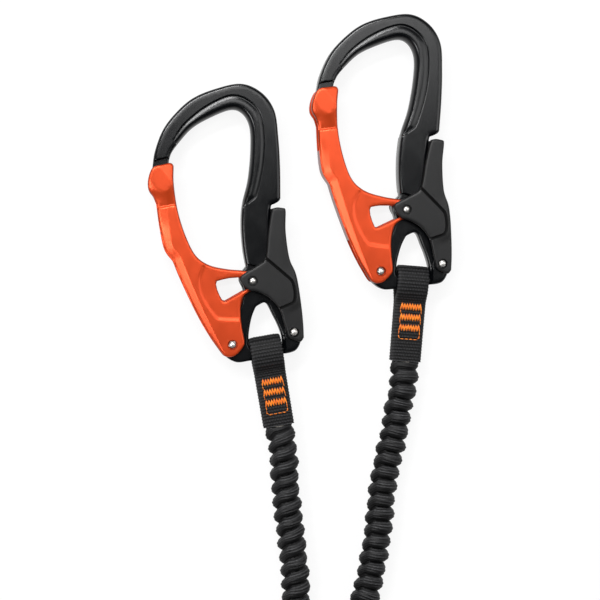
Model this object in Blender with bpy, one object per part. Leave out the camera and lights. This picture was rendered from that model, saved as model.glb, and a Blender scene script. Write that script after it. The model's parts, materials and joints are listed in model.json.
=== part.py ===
"""Via ferrata lanyard: two palm-squeeze carabiners on gathered elastic arms, which end in a folded
tear-webbing absorber in a zipped pouch, beside a tie-in loop. Everything lies flat on the floor."""

import math

import bmesh
import bpy
from mathutils import Matrix, Vector

# Carabiner: overall size and thicknesses
CARABINER_WIDTH = 0.071
CARABINER_LENGTH = 0.1285
HOOK_THICKNESS = 0.010
WAIST_THICKNESS = 0.0066
HOOK_RECESS_DEPTH = 0.0009
GATE_WALL = 0.0018
GATE_WEB = 0.0020
LEVER_WALL = 0.0020
LEVER_WEB = 0.0018
EYE_FLOOR_RADIUS = 0.018
LEVER_STROKE = math.radians(4.5)

# Rivets, the lock pin and their seats
RIVET_RADIUS = 0.0015
LOCK_PIN_RADIUS = 0.0010
FLANGE_RADIUS = 0.00195
FLANGE_THICKNESS = 0.0004
DOME_RADIUS = 0.00135
DOME_HEIGHT = 0.0003
RUNNING_GAP = 0.0003
CUT_OVERRUN = 0.002
SHORTEST_EDGE = 0.00012

# Springs
GATE_COIL_RADIUS = 0.0028
GATE_WIRE_RADIUS = 0.00035
GATE_COIL_TURNS = 2.5
GATE_POCKET_FLOOR = -0.0012
LEVER_COIL_RADIUS = 0.0017
LEVER_WIRE_RADIUS = 0.0003
LEVER_COIL_TURNS = 6
LEVER_SPRING_SEAT = 0.0045
POINTS_PER_CURL = 8

# Webbing strap of each carabiner
STRAP_THICKNESS = 0.0027
STRAP_WIDTH = 0.0142
STRAP_LENGTH = 0.0435
STRAP_PLAY = 0.0005
STRAP_CORNER = 0.0018
STRAP_SPLICE = 0.0055
BAR_DEPTH = 0.0083
TACK_FIRST = 0.0160
TACK_PITCH = 0.0051
TACK_COUNT = 3
TACK_WIDTH = 0.0100
TACK_HEIGHT = 0.0036
THREAD_THICKNESS = 0.0005
SEAM_WIDTH = 0.0011
SEAM_DROP = 0.0040

# Gathered elastic arms
SLEEVE_CREST_RADIUS = 0.0066
SLEEVE_VALLEY_RADIUS = 0.0054
SLEEVE_PITCH = 0.0066
BORE_RADIUS = 0.0036
CORE_RADIUS = 0.0030
BORE_SPACING = 0.0085
ARM_HEIGHT = 0.0068

# Flat ends of the arms, absorber, pouch and tie-in loop
END_STRAP_LENGTH = 0.0450
END_STRAP_OUTSIDE = 0.0250
END_TACK_PLACE = 0.0070
POUCH_WIDTH = 0.062
POUCH_LENGTH = 0.102
POUCH_HEIGHT = 0.028
POUCH_WALL = 0.0015
POUCH_CORNER = 0.012
POUCH_EDGE = 0.005
ABSORBER_WIDTH = 0.050
ABSORBER_LENGTH = 0.068
ABSORBER_LAYER = 0.0032
ABSORBER_SPACE = 0.0007
ABSORBER_LAYERS = 5
LOOP_THICKNESS = 0.0030
LOOP_WIDTH = 0.0160
LOOP_REACH = 0.092
LOOP_EYE = 0.074
LOOP_HEIGHT = 0.0165
LOOP_TAIL = 0.020

# Zip along the top of the pouch
ZIP_LENGTH = 0.080
ZIP_TAPE_WIDTH = 0.016
ZIP_TAPE_THICKNESS = 0.0006
ZIP_CHAIN_WIDTH = 0.0040
ZIP_CHAIN_HEIGHT = 0.0012
ZIP_SLIT_WIDTH = 0.0030
SLIDER_LENGTH = 0.0100
SLIDER_WIDTH = 0.0080
SLIDER_HEIGHT = 0.0030
EAR_THICKNESS = 0.0010
EAR_LENGTH = 0.0030
EAR_HEIGHT = 0.0028
EAR_SPACING = 0.0036
PULL_PIN_RADIUS = 0.0005
PULL_EYE_RADIUS = 0.0017
PULL_HOLE_RADIUS = 0.0009
PULL_LENGTH = 0.024
PULL_WIDTH = 0.0050
PULL_THICKNESS = 0.0012

# Where the pieces lie: the gate pivots, the turn of each carabiner, and the swing of each strap
LEFT_PLACE = (-0.0313, -0.0205)
RIGHT_PLACE = (0.0379, 0.0132)
LEFT_TURN = 0
RIGHT_TURN = math.radians(-4.5)
LEFT_STRAP_SWING = math.radians(9.5)
RIGHT_STRAP_SWING = 0
POUCH_MOUTH = (0.062, -0.272)
LEFT_END_STRAP_X = 0.0805
RIGHT_END_STRAP_X = 0.0635
LOOP_X = 0.0430

# Route of each arm between its two straps, chosen by hand, seen from above
LEFT_ROUTE = [(-0.0066, -0.0840), (-0.0056, -0.0950), (-0.0044, -0.1060), (-0.0030, -0.1170),
              (-0.0018, -0.1280), (-0.0015, -0.1400), (-0.0030, -0.1550), (-0.0070, -0.1750),
              (-0.0110, -0.1950), (-0.0140, -0.2200), (-0.0150, -0.2500), (-0.0150, -0.2850),
              (-0.0150, -0.3200), (-0.0150, -0.3520), (-0.0086, -0.3760), (0.0090, -0.3936),
              (0.0330, -0.4000), (0.0570, -0.3936), (0.0746, -0.3760), (0.0810, -0.3520),
              (0.0812, -0.3300)]
RIGHT_ROUTE = [(0.0476, -0.0500), (0.0460, -0.0610), (0.0434, -0.0720), (0.0410, -0.0830),
               (0.0396, -0.0940), (0.0384, -0.1050), (0.0369, -0.1160), (0.0350, -0.1280),
               (0.0315, -0.1420), (0.0250, -0.1600), (0.0160, -0.1800), (0.0080, -0.2000),
               (0.0030, -0.2250), (0.0020, -0.2550), (0.0020, -0.2900), (0.0020, -0.3250),
               (0.0020, -0.3520), (0.0062, -0.3675), (0.0175, -0.3788), (0.0330, -0.3830),
               (0.0485, -0.3788), (0.0598, -0.3675), (0.0640, -0.3520), (0.0640, -0.3300)]

# Pivots and outlines, as shares of the carabiner's width and length from the gate's pivot
LEVER_PIVOT_SHARE = (0.40, 0.045)
LOCK_PIN_SHARE = (0.13, 0.23)
STRAP_CENTRE_SHARE = 0.208
SPRING_LEVEL_SHARE = 0.40
DOME_TOP_SHARE = 0.7

NOSE_SHARES = [(-0.404, 0.66), (-0.409, 0.635), (-0.418, 0.60), (-0.44, 0.565), (-0.475, 0.552),
               (-0.50, 0.56), (-0.515, 0.59), (-0.512, 0.63)]
HOOK_BACK_SHARES = [(-0.512, 0.63), (-0.495, 0.69), (-0.445, 0.765), (-0.365, 0.825), (-0.255, 0.88),
                    (-0.11, 0.915), (0.06, 0.935), (0.195, 0.905), (0.28, 0.84), (0.305, 0.74),
                    (0.315, 0.635), (0.315, 0.525)]
NOTCH_SHARES = [(0.315, 0.525), (0.305, 0.515), (0.275, 0.505), (0.255, 0.50), (0.25, 0.48)]
LEVER_BED_SHARES = [(0.25, 0.48), (0.25, 0.41), (0.285, 0.325), (0.345, 0.215), (0.395, 0.12),
                    (0.44, 0.085), (0.455, 0.045), (0.445, 0.005), (0.42, -0.02), (0.385, -0.03),
                    (0.34, -0.035)]
TOE_SHARES = [(0.115, -0.06), (0.03, -0.065), (-0.04, -0.045), (-0.08, -0.01), (-0.07, 0.03),
              (0.0, 0.085), (0.055, 0.14), (0.075, 0.185)]
LOBE_SHARES = [(0.075, 0.185), (0.065, 0.205), (0.045, 0.23), (0.055, 0.255), (0.09, 0.28)]
SPINE_INSIDE_SHARES = [(0.09, 0.28), (0.07, 0.345), (0.06, 0.425), (0.07, 0.505), (0.11, 0.59),
                       (0.13, 0.69), (0.125, 0.78), (0.08, 0.83), (0.0, 0.845), (-0.13, 0.82),
                       (-0.255, 0.78), (-0.355, 0.72), (-0.39, 0.69), (-0.404, 0.66)]
EYE_SHARES = [(0.096, 0.0), (0.10, 0.045), (0.13, 0.11), (0.17, 0.145), (0.21, 0.152), (0.25, 0.128),
              (0.30, 0.08), (0.332, 0.035), (0.338, 0.0)]
RECESS_SHARES = [(-0.38, 0.73), (-0.31, 0.785), (-0.195, 0.84), (-0.065, 0.88), (0.025, 0.89),
                 (0.115, 0.87), (0.185, 0.825), (0.21, 0.74), (0.20, 0.64), (0.16, 0.54),
                 (0.125, 0.515), (0.08, 0.495)]
RECESS_RETURN_SHARES = [(0.03, 0.48), (0.02, 0.52), (0.08, 0.72), (0.02, 0.79), (-0.12, 0.77),
                        (-0.30, 0.68)]
NOSE_STEP_SHARES = [(-0.70, 0.655), (-0.36, 0.685), (-0.36, 0.45), (-0.70, 0.45)]
GATE_SWEEP_SHARE = (0.535, 0.296)
HEEL_BOSS_SHARES = [(0.43, 0.165), (0.345, 0.12), (0.345, -0.20)]

GATE_INSIDE_SHARES = [(-0.375, 0.64), (-0.375, 0.575), (-0.35, 0.48), (-0.30, 0.39), (-0.235, 0.32),
                      (-0.145, 0.285), (-0.025, 0.27), (0.09, 0.265)]
GATE_ARM_SHARES = [(0.09, 0.265), (0.16, 0.26), (0.19, 0.245), (0.195, 0.23), (0.165, 0.205),
                   (0.11, 0.19)]
GATE_BELOW_SHARES = [(0.11, 0.19), (0.07, 0.17), (0.055, 0.13), (0.06, 0.075), (0.08, 0.015)]
GATE_FOOT_SHARES = [(0.08, 0.015), (0.075, -0.005), (0.03, -0.035), (-0.015, -0.045),
                    (-0.055, -0.04), (-0.08, -0.025)]
GATE_SIDE_SHARES = [(-0.08, -0.025), (-0.145, 0.027), (-0.21, 0.088), (-0.275, 0.16), (-0.34, 0.239),
                    (-0.383, 0.298)]
GATE_OUTSIDE_SHARES = [(-0.383, 0.298), (-0.436, 0.342), (-0.46, 0.42), (-0.485, 0.51)]
GATE_HEAD_SHARES = [(-0.485, 0.51), (-0.52, 0.55), (-0.53, 0.585), (-0.52, 0.62), (-0.485, 0.645),
                    (-0.39, 0.65), (-0.375, 0.64)]
WINDOW_SHARES = [(-0.10, 0.231), (-0.06, 0.2385), (0.0, 0.244), (0.04, 0.246), (0.10, 0.246),
                 (0.135, 0.243), (0.152, 0.232), (0.145, 0.218), (0.095, 0.20), (-0.045, 0.156),
                 (-0.064, 0.159), (-0.083, 0.178), (-0.099, 0.20), (-0.1055, 0.218)]
GATE_WEB_SHARES = [(-0.375, 0.72), (-0.375, 0.575), (-0.35, 0.48), (-0.30, 0.39), (-0.235, 0.32),
                   (-0.165, 0.29)]
GATE_RIM_SHARES = [(-0.228, 0.108), (-0.275, 0.16), (-0.34, 0.239), (-0.383, 0.298), (-0.436, 0.342),
                   (-0.458, 0.41)]
CHANNEL_FOOT_SHARES = [(-0.12, 0.34), (0.30, 0.34), (0.30, -0.12), (-0.13, -0.12), (-0.28, 0.07)]
CHANNEL_HEAD_SHARES = [(-0.60, 0.43), (-0.60, 0.72)]

LEVER_BACK_SHARES = [(0.33, 0.49), (0.345, 0.48), (0.345, 0.405), (0.37, 0.31), (0.415, 0.25),
                     (0.445, 0.155), (0.46, 0.08), (0.465, 0.025)]
LEVER_FOOT_SHARES = [(0.465, 0.025), (0.45, 0.012), (0.43, 0.01), (0.38, 0.02), (0.36, 0.03)]
LEVER_FRONT_SHARES = [(0.36, 0.03), (0.335, 0.075), (0.30, 0.13), (0.235, 0.17), (0.16, 0.19),
                      (0.105, 0.195)]
LEVER_NOSE_SHARES = [(0.105, 0.195), (0.07, 0.215), (0.055, 0.24), (0.085, 0.257), (0.145, 0.28),
                     (0.20, 0.30)]
LEVER_NECK_SHARES = [(0.20, 0.30), (0.225, 0.33), (0.235, 0.395), (0.245, 0.46), (0.255, 0.487)]
LEVER_TOP_SHARES = [(0.255, 0.487), (0.29, 0.492), (0.33, 0.49)]
LEVER_WEB_SHARES = [(0.345, 0.56), (0.345, 0.405), (0.37, 0.31), (0.415, 0.25), (0.442, 0.165)]
LEVER_OPEN_SHARES = [(0.60, 0.165), (0.60, -0.12), (-0.12, -0.12), (-0.12, 0.56)]

# Worked out from the sizes above
GATE_INNER = WAIST_THICKNESS / 2 + RUNNING_GAP
GATE_OUTER = GATE_INNER + GATE_WALL
LEVER_INNER = max(GATE_OUTER, HOOK_THICKNESS / 2) + RUNNING_GAP
LEVER_OUTER = LEVER_INNER + LEVER_WALL
MID_HEIGHT = LEVER_OUTER
STRAP_INNER = WAIST_THICKNESS / 2 + RUNNING_GAP
STRAP_OUTER = STRAP_INNER + STRAP_THICKNESS
STRAP_TOP = STRAP_PLAY + STRAP_THICKNESS
ORIGIN = (0, 0)


def clear_scene():
    for thing in list(bpy.data.objects):
        bpy.data.objects.remove(thing, do_unlink=True)


def material(name, colour, roughness, metallic):
    made = bpy.data.materials.new(name)
    made.use_nodes = True
    shader = made.node_tree.nodes["Principled BSDF"]
    shader.inputs["Base Color"].default_value = (*colour, 1)
    shader.inputs["Roughness"].default_value = roughness
    shader.inputs["Metallic"].default_value = metallic
    made.diffuse_color = (*colour, 1)
    return made


def placed(shares):
    return [Vector((x * CARABINER_WIDTH, y * CARABINER_LENGTH)) for x, y in shares]


def place(share):
    return placed([share])[0]


def smooth(points, steps):
    """Points on the smooth curve that passes through all the given ones."""
    ends = [2 * points[0] - points[1], *points, 2 * points[-1] - points[-2]]
    curve = []
    for before, here, there, after in zip(ends, ends[1:], ends[2:], ends[3:]):
        for step in range(steps):
            t = step / steps
            pull = (there - before) * t + (2 * before - 5 * here + 4 * there - after) * t ** 2
            curve.append(here + (pull + (3 * here - 3 * there + after - before) * t ** 3) / 2)
    curve.append(points[-1])
    return curve


def distinct(points):
    """The closed ring of points without repeats."""
    return [point for point, previous in zip(points, points[-1:] + points[:-1])
            if (point - previous).length > SHORTEST_EDGE]


def outline(*runs, steps=2):
    ring = []
    for run in runs:
        ring += smooth(placed(run), steps)
    return distinct(ring)


def beside(points, distance):
    """The run of points shifted sideways, to the right of its own direction when positive."""
    shifted = []
    for index, point in enumerate(points):
        ahead = points[min(index + 1, len(points) - 1)] - points[max(index - 1, 0)]
        shifted.append(point + Vector((ahead.y, -ahead.x)).normalized() * distance)
    return shifted


def arc(centre, radius, start, end, count):
    angles = [start + (end - start) * step / (count - 1) for step in range(count)]
    return [Vector((centre[0] + radius * math.cos(a), centre[1] + radius * math.sin(a))) for a in angles]


def circle(centre, radius, sides=16):
    return arc(centre, radius, 0, math.tau, sides + 1)[:-1]


def box_ring(low, high):
    return [Vector(low), Vector((high[0], low[1])), Vector(high), Vector((low[0], high[1]))]


def loose(mesh):
    """A working object, which carve() uses up or piece() keeps."""
    made = bpy.data.objects.new("shape", mesh)
    bpy.context.scene.collection.objects.link(made)
    return made


def meshed(shape):
    bmesh.ops.recalc_face_normals(shape, faces=shape.faces)
    mesh = bpy.data.meshes.new("shape")
    shape.to_mesh(mesh)
    shape.free()
    return mesh


def prism(points, low, high):
    """The ring of points raised along Z."""
    shape = bmesh.new()
    base = shape.faces.new([shape.verts.new((point[0], point[1], low)) for point in points])
    raised = bmesh.ops.extrude_face_region(shape, geom=[base])["geom"]
    corners = [part for part in raised if isinstance(part, bmesh.types.BMVert)]
    bmesh.ops.translate(shape, verts=corners, vec=(0, 0, high - low))
    return loose(meshed(shape))


def slab(low, high):
    """A box between two corners."""
    return prism(box_ring(low[:2], high[:2]), low[2], high[2])


def turned(profile, sides=12):
    """A solid of revolution about Z, from points of radius and height, low to high."""
    shape = bmesh.new()
    rings = []
    for radius, height in profile:
        rings.append([shape.verts.new((p.x, p.y, height)) for p in circle(ORIGIN, radius, sides)])
    for lower, upper in zip(rings, rings[1:]):
        for index in range(sides):
            after = (index + 1) % sides
            shape.faces.new((lower[index], lower[after], upper[after], upper[index]))
    shape.faces.new(rings[0])
    shape.faces.new(rings[-1])
    return loose(meshed(shape))


def moved(shape, offset=(0, 0, 0), turn=None):
    """The working object with its mesh turned and then moved."""
    matrix = Matrix.Translation(offset)
    if turn:
        matrix = matrix @ turn
    shape.data.transform(matrix)
    return shape


def across():
    """Turns a shape that was raised along Z so that it runs along X, its own X and Y to Y and Z."""
    return Matrix(((0, 0, 1, 0), (1, 0, 0, 0), (0, 1, 0, 0), (0, 0, 0, 1)))


def along():
    """Turns a shape that was raised along Z so that it runs along -Y, its own X and Y to X and Z."""
    return Matrix(((1, 0, 0, 0), (0, 0, -1, 0), (0, 1, 0, 0), (0, 0, 0, 1)))


def evaluated(shape):
    bpy.context.view_layer.update()
    mesh = bpy.data.meshes.new_from_object(shape.evaluated_get(bpy.context.evaluated_depsgraph_get()))
    bpy.data.objects.remove(shape, do_unlink=True)
    return mesh


def carve(blank, cutters=(), joined=()):
    """The mesh of the blank, with the joined shapes added and then the cutters taken away."""
    others = [(other, "UNION") for other in joined] + [(other, "DIFFERENCE") for other in cutters]
    for other, operation in others:
        step = blank.modifiers.new("cut", "BOOLEAN")
        step.operation = operation
        step.solver = "EXACT"
        step.object = other
    mesh = evaluated(blank)
    for other, _ in others:
        bpy.data.objects.remove(other, do_unlink=True)
    return mesh


def piece(name, mesh, look, parent=None, location=(0, 0, 0)):
    made = bpy.data.objects.new(name, mesh)
    bpy.context.scene.collection.objects.link(made)
    made.parent = parent
    made.location = location
    if made.type == "MESH":
        mesh.shade_smooth()
        mesh.set_sharp_from_angle(angle=math.radians(30))
    mesh.materials.clear()
    mesh.materials.append(look)
    return made


def tube(points, radii, resolution=2):
    """A curve along the points, with a radius for each one, and filled ends."""
    curve = bpy.data.curves.new("tube", "CURVE")
    curve.dimensions = "3D"
    curve.bevel_depth = 1
    curve.bevel_resolution = resolution
    curve.use_fill_caps = True
    spline = curve.splines.new("POLY")
    spline.points.add(len(points) - 1)
    for target, point, radius in zip(spline.points, points, radii):
        target.co = (*point, 1)
        target.radius = radius
    return curve


def tube_mesh(points, radii, resolution=2):
    mesh = evaluated(loose(tube(points, radii, resolution)))
    shape = bmesh.new()
    shape.from_mesh(mesh)
    bmesh.ops.remove_doubles(shape, verts=shape.verts, dist=SHORTEST_EDGE / 10)
    return meshed(shape)


def frame_mesh():
    ring = outline(NOSE_SHARES, HOOK_BACK_SHARES, NOTCH_SHARES, LEVER_BED_SHARES, TOE_SHARES,
                   LOBE_SHARES, SPINE_INSIDE_SHARES)
    half = HOOK_THICKNESS / 2
    waist = WAIST_THICKNESS / 2
    pin = place(LOCK_PIN_SHARE)
    pivot = place(LEVER_PIVOT_SHARE)
    through = (-half - CUT_OVERRUN, half + CUT_OVERRUN)

    turns = arc(ORIGIN, 1, math.radians(215), math.radians(38), 20)
    sweep = [(turn.x * GATE_SWEEP_SHARE[0], turn.y * GATE_SWEEP_SHARE[1]) for turn in turns]
    lower = placed(sweep + HEEL_BOSS_SHARES)
    recess = smooth(placed(RECESS_SHARES), 2) + placed(RECESS_RETURN_SHARES)
    cutters = []
    for side in (-1, 1):
        near, far = sorted((side * waist, side * (half + CUT_OVERRUN)))
        cutters.append(prism(lower, near, far))
        cutters.append(prism(placed(NOSE_STEP_SHARES), near, far))
        near, far = sorted((side * (half - HOOK_RECESS_DEPTH), side * (half + CUT_OVERRUN)))
        cutters.append(prism(recess, near, far))

    cutters.append(prism(eye_ring(), *through))
    cutters.append(prism(circle(ORIGIN, RIVET_RADIUS + RUNNING_GAP), *through))
    cutters.append(prism(circle(pivot, RIVET_RADIUS + RUNNING_GAP), *through))
    cutters.append(prism(pin_slot(pin, pivot), *through))
    pocket = GATE_COIL_RADIUS + GATE_WIRE_RADIUS + 2 * RUNNING_GAP
    cutters.append(prism(circle(ORIGIN, pocket), GATE_POCKET_FLOOR, half + CUT_OVERRUN))
    bore = turned([(lever_spring_bore(), 0), (lever_spring_bore(), HOOK_THICKNESS)])
    cutters.append(moved(bore, (spring_seat_x(), SPRING_LEVEL_SHARE * CARABINER_LENGTH, 0), across()))
    return carve(prism(ring, -half, half), cutters)


def eye_ring():
    """The eye that the strap goes through: rounded above, on a crowned floor."""
    sides = smooth(placed(EYE_SHARES), 2)
    centre = STRAP_CENTRE_SHARE * CARABINER_WIDTH
    floor = []
    for step in range(1, 8):
        x = sides[-1].x + (sides[0].x - sides[-1].x) * step / 8
        drop = EYE_FLOOR_RADIUS - math.sqrt(EYE_FLOOR_RADIUS ** 2 - (x - centre) ** 2)
        floor.append(Vector((x, -drop)))
    corners = [Vector((side.x, floor[index].y)) for side, index in ((sides[-1], 0), (sides[0], -1))]
    return distinct(sides + corners[:1] + floor + corners[1:])


def pin_slot(pin, pivot):
    """The slot in which the lock pin swings about the lever's pivot, open by the gap all round."""
    reach = (pin - pivot).length
    rest = math.atan2(pin.y - pivot.y, pin.x - pivot.x)
    width = LOCK_PIN_RADIUS + RUNNING_GAP
    end = rest + LEVER_STROKE
    begin_cap = arc(pin, width, rest - math.pi, rest, 7)
    last = Vector((pivot.x + reach * math.cos(end), pivot.y + reach * math.sin(end)))
    return begin_cap + arc(last, width, end, end + math.pi, 7)


def lever_spring_bore():
    return LEVER_COIL_RADIUS + LEVER_WIRE_RADIUS + RUNNING_GAP


def spring_seat_x():
    bed = place(NOTCH_SHARES[-1]).x
    return bed - LEVER_SPRING_SEAT


def gate_mesh():
    ring = outline(GATE_INSIDE_SHARES, GATE_ARM_SHARES, GATE_BELOW_SHARES, GATE_FOOT_SHARES,
                   GATE_SIDE_SHARES, GATE_OUTSIDE_SHARES, GATE_HEAD_SHARES)
    web = beside(smooth(placed(GATE_WEB_SHARES), 2), GATE_WEB)
    rim = beside(smooth(placed(GATE_RIM_SHARES), 2), GATE_WEB)
    channel = web + placed(CHANNEL_FOOT_SHARES) + rim + placed(CHANNEL_HEAD_SHARES)
    over = GATE_OUTER + CUT_OVERRUN
    cutters = [prism(channel, -GATE_INNER, GATE_INNER),
               prism(placed(WINDOW_SHARES), -over, over),
               prism(circle(ORIGIN, RIVET_RADIUS + RUNNING_GAP), -over, over)]
    cutters += head_seats(GATE_OUTER, over)
    return carve(prism(ring, -GATE_OUTER, GATE_OUTER), cutters)


def head_seats(outer, over):
    """Counterbores for a rivet's heads, in both outer faces."""
    floor = outer - DOME_HEIGHT - FLANGE_THICKNESS - RUNNING_GAP
    radius = FLANGE_RADIUS + RUNNING_GAP
    return [prism(circle(ORIGIN, radius), floor, over), prism(circle(ORIGIN, radius), -over, -floor)]


def lever_mesh():
    """The lever about its own pivot."""
    ring = outline(LEVER_BACK_SHARES, LEVER_FOOT_SHARES, LEVER_FRONT_SHARES, LEVER_NOSE_SHARES,
                   LEVER_NECK_SHARES, LEVER_TOP_SHARES)
    web = beside(smooth(placed(LEVER_WEB_SHARES), 2), LEVER_WEB)
    channel = web + placed(LEVER_OPEN_SHARES)
    over = LEVER_OUTER + CUT_OVERRUN
    pin = place(LOCK_PIN_SHARE)
    pivot = place(LEVER_PIVOT_SHARE)
    cutters = [prism(channel, -LEVER_INNER, LEVER_INNER),
               prism(circle(pivot, RIVET_RADIUS + RUNNING_GAP), -over, over),
               prism(circle(pin, LOCK_PIN_RADIUS + RUNNING_GAP), -over, over)]
    for centre in (pivot, pin):
        cutters += [moved(seat, (*centre, 0)) for seat in head_seats(LEVER_OUTER, over)]
    mesh = carve(prism(ring, -LEVER_OUTER, LEVER_OUTER), cutters)
    mesh.transform(Matrix.Translation((*-pivot, 0)))
    return mesh


def rivet_mesh(shank, outer):
    """A rivet with a flange and a low dome at each end, level with the outer faces."""
    top = outer - DOME_HEIGHT
    half = [(shank, 0), (shank, top - FLANGE_THICKNESS), (FLANGE_RADIUS, top - FLANGE_THICKNESS),
            (FLANGE_RADIUS, top), (DOME_RADIUS, top), (DOME_RADIUS * DOME_TOP_SHARE, outer)]
    lower = [(radius, -height) for radius, height in reversed(half[1:])]
    return shape_mesh(turned(lower + half[1:]))


def coil(centre, radius, start, end, turns):
    """Points of a helix about Z, through the centre."""
    count = int(turns * POINTS_PER_CURL)
    points = []
    for step in range(count + 1):
        angle = math.tau * turns * step / count
        height = start + (end - start) * step / count
        spot = (centre[0] + radius * math.cos(angle), centre[1] + radius * math.sin(angle), height)
        points.append(Vector(spot))
    return points


def gate_spring():
    low = GATE_POCKET_FLOOR + RUNNING_GAP + GATE_WIRE_RADIUS
    high = WAIST_THICKNESS / 2 - RUNNING_GAP - GATE_WIRE_RADIUS
    points = coil(ORIGIN, GATE_COIL_RADIUS, low, high, GATE_COIL_TURNS)
    return tube(points, [GATE_WIRE_RADIUS] * len(points), 0)


def lever_spring():
    """The compression spring from the blind hole in the spine to the lever's web."""
    level = SPRING_LEVEL_SHARE * CARABINER_LENGTH
    web = place(LEVER_WEB_SHARES[1]).x - LEVER_WEB
    low = spring_seat_x() + RUNNING_GAP + LEVER_WIRE_RADIUS
    high = web - RUNNING_GAP - LEVER_WIRE_RADIUS
    turns = coil(ORIGIN, LEVER_COIL_RADIUS, low, high, LEVER_COIL_TURNS)
    points = [across().to_3x3() @ point + Vector((0, level, 0)) for point in turns]
    return tube(points, [LEVER_WIRE_RADIUS] * len(points), 0)


def mirrored(half):
    """A ring of points from its upper half, which is repeated below the first axis."""
    below = [(place_along, -distance) for place_along, distance in reversed(half)]
    return [Vector(point) for point in [*half, *below]]


def strap_mesh():
    """The strap in its own frame: X across it, Y up through the eye, Z out of the carabiner's face."""
    splice = -BAR_DEPTH - STRAP_SPLICE
    half = [(STRAP_TOP, STRAP_OUTER - 2 * STRAP_CORNER),
            (STRAP_TOP - STRAP_CORNER / 3, STRAP_OUTER - STRAP_CORNER / 2),
            (STRAP_TOP - STRAP_CORNER, STRAP_OUTER),
            (-BAR_DEPTH, STRAP_OUTER),
            (splice, STRAP_THICKNESS),
            (STRAP_TOP - STRAP_LENGTH, STRAP_THICKNESS)]
    loop_half = [(STRAP_PLAY, STRAP_INNER),
                 (-BAR_DEPTH, STRAP_INNER),
                 (splice + STRAP_CORNER, STRAP_PLAY / 2)]
    edge = STRAP_WIDTH / 2
    over = edge + CUT_OVERRUN
    blank = moved(prism(mirrored(half), -edge, edge), turn=across())
    loop = moved(prism(mirrored(loop_half), -over, over), turn=across())
    return carve(blank, [loop, *stitch_slots(tack_levels(TACK_FIRST, TACK_COUNT), STRAP_THICKNESS)])


def tack_levels(first, count):
    """The lower edge of each bar tack, down a strap's own Y."""
    return [-first - index * TACK_PITCH - TACK_HEIGHT / 2 for index in range(count)]


def stitches_mesh(levels, half_strap, seam):
    """Bar tacks on both faces of a strap, with the thread between them through its slots."""
    half = TACK_WIDTH / 2
    foot = levels[-1] - (SEAM_DROP if seam else 0)
    near = half_strap + RUNNING_GAP
    gaps = [(level - TACK_PITCH + TACK_HEIGHT, level) for level in levels[:-1]]
    if seam:
        gaps.append((foot + SEAM_WIDTH, levels[-1]))
    top = levels[0] + TACK_HEIGHT
    far_face = slab((-half, foot, -near - THREAD_THICKNESS), (half, top, -near))
    joined = [slab((-half, foot, near), (half, top, near + THREAD_THICKNESS))]
    joined += [stem(level, near + THREAD_THICKNESS / 2, 0) for level in levels]
    reach = near + THREAD_THICKNESS + CUT_OVERRUN
    inner = half - SEAM_WIDTH
    cutters = [slab((-inner, low, -reach), (inner, high, reach)) for low, high in gaps]
    return carve(far_face, cutters, joined)


def stem(level, reach, gap):
    """Thread through the strap behind a bar tack, or the slot for it with a gap."""
    middle = level + TACK_HEIGHT / 2
    side, edge = TACK_WIDTH / 2 - SEAM_WIDTH + gap, SEAM_WIDTH / 2 + gap
    return slab((-side, middle - edge, -reach), (side, middle + edge, reach))


def stitch_slots(levels, half_strap):
    return [stem(level, half_strap + CUT_OVERRUN, RUNNING_GAP) for level in levels]


def spaced(points, spacing):
    """Points at even steps along a run, with about the given spacing."""
    lengths = [0]
    for here, there in zip(points, points[1:]):
        lengths.append(lengths[-1] + (there - here).length)
    count = max(round(lengths[-1] / spacing), 1)
    even = []
    index = 0
    for step in range(count + 1):
        reach = lengths[-1] * step / count
        while index < len(points) - 2 and lengths[index + 1] < reach:
            index += 1
        share = (reach - lengths[index]) / (lengths[index + 1] - lengths[index])
        even.append(points[index].lerp(points[index + 1], share))
    return even


def arm_route(side):
    """The arm's smooth centre line, from the carabiner's strap to the flat end at the pouch."""
    start, down = strap_end(side)
    finish = Vector((side["end_x"], POUCH_MOUTH[1] - END_STRAP_OUTSIDE - RUNNING_GAP, ARM_HEIGHT))
    straight = 2 * SLEEVE_CREST_RADIUS
    points = [start, start + down * straight]
    points += [Vector((*point, ARM_HEIGHT)) for point in side["route"]]
    points += [finish - Vector((0, straight, 0)), finish]
    return smooth(points, 8)


def sleeve_mesh(route):
    """The gathered sleeve: crests and valleys along the route, and a plain bore right through."""
    ribs = spaced(route, SLEEVE_PITCH / 2)
    radii = [SLEEVE_CREST_RADIUS if index % 2 else SLEEVE_VALLEY_RADIUS for index in range(len(ribs))]
    centre = spaced(route, BORE_SPACING)
    overrun = [centre[0] + (centre[0] - centre[1]).normalized() * CUT_OVERRUN]
    overrun_end = [centre[-1] + (centre[-1] - centre[-2]).normalized() * CUT_OVERRUN]
    bore = overrun + centre + overrun_end
    return carve(loose(tube_mesh(ribs, radii)), [loose(tube_mesh(bore, [BORE_RADIUS] * len(bore)))])


def strap_end(side):
    """The middle of the strap's free end, with its gap to the sleeve, and the way it points."""
    swing = side["turn"] + side["swing"]
    down = Vector((math.sin(swing), -math.cos(swing), 0))
    return strap_origin(side) + down * (STRAP_LENGTH - STRAP_TOP + RUNNING_GAP), down


def strap_origin(side):
    offset = Matrix.Rotation(side["turn"], 3, "Z") @ Vector((STRAP_CENTRE_SHARE * CARABINER_WIDTH, 0, 0))
    return Vector((*side["place"], MID_HEIGHT)) + offset


def empty(name, location, turn=0, parent=None):
    made = bpy.data.objects.new(name, None)
    bpy.context.scene.collection.objects.link(made)
    made.parent = parent
    made.location = location
    made.rotation_euler = (0, 0, turn)
    return made


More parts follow.
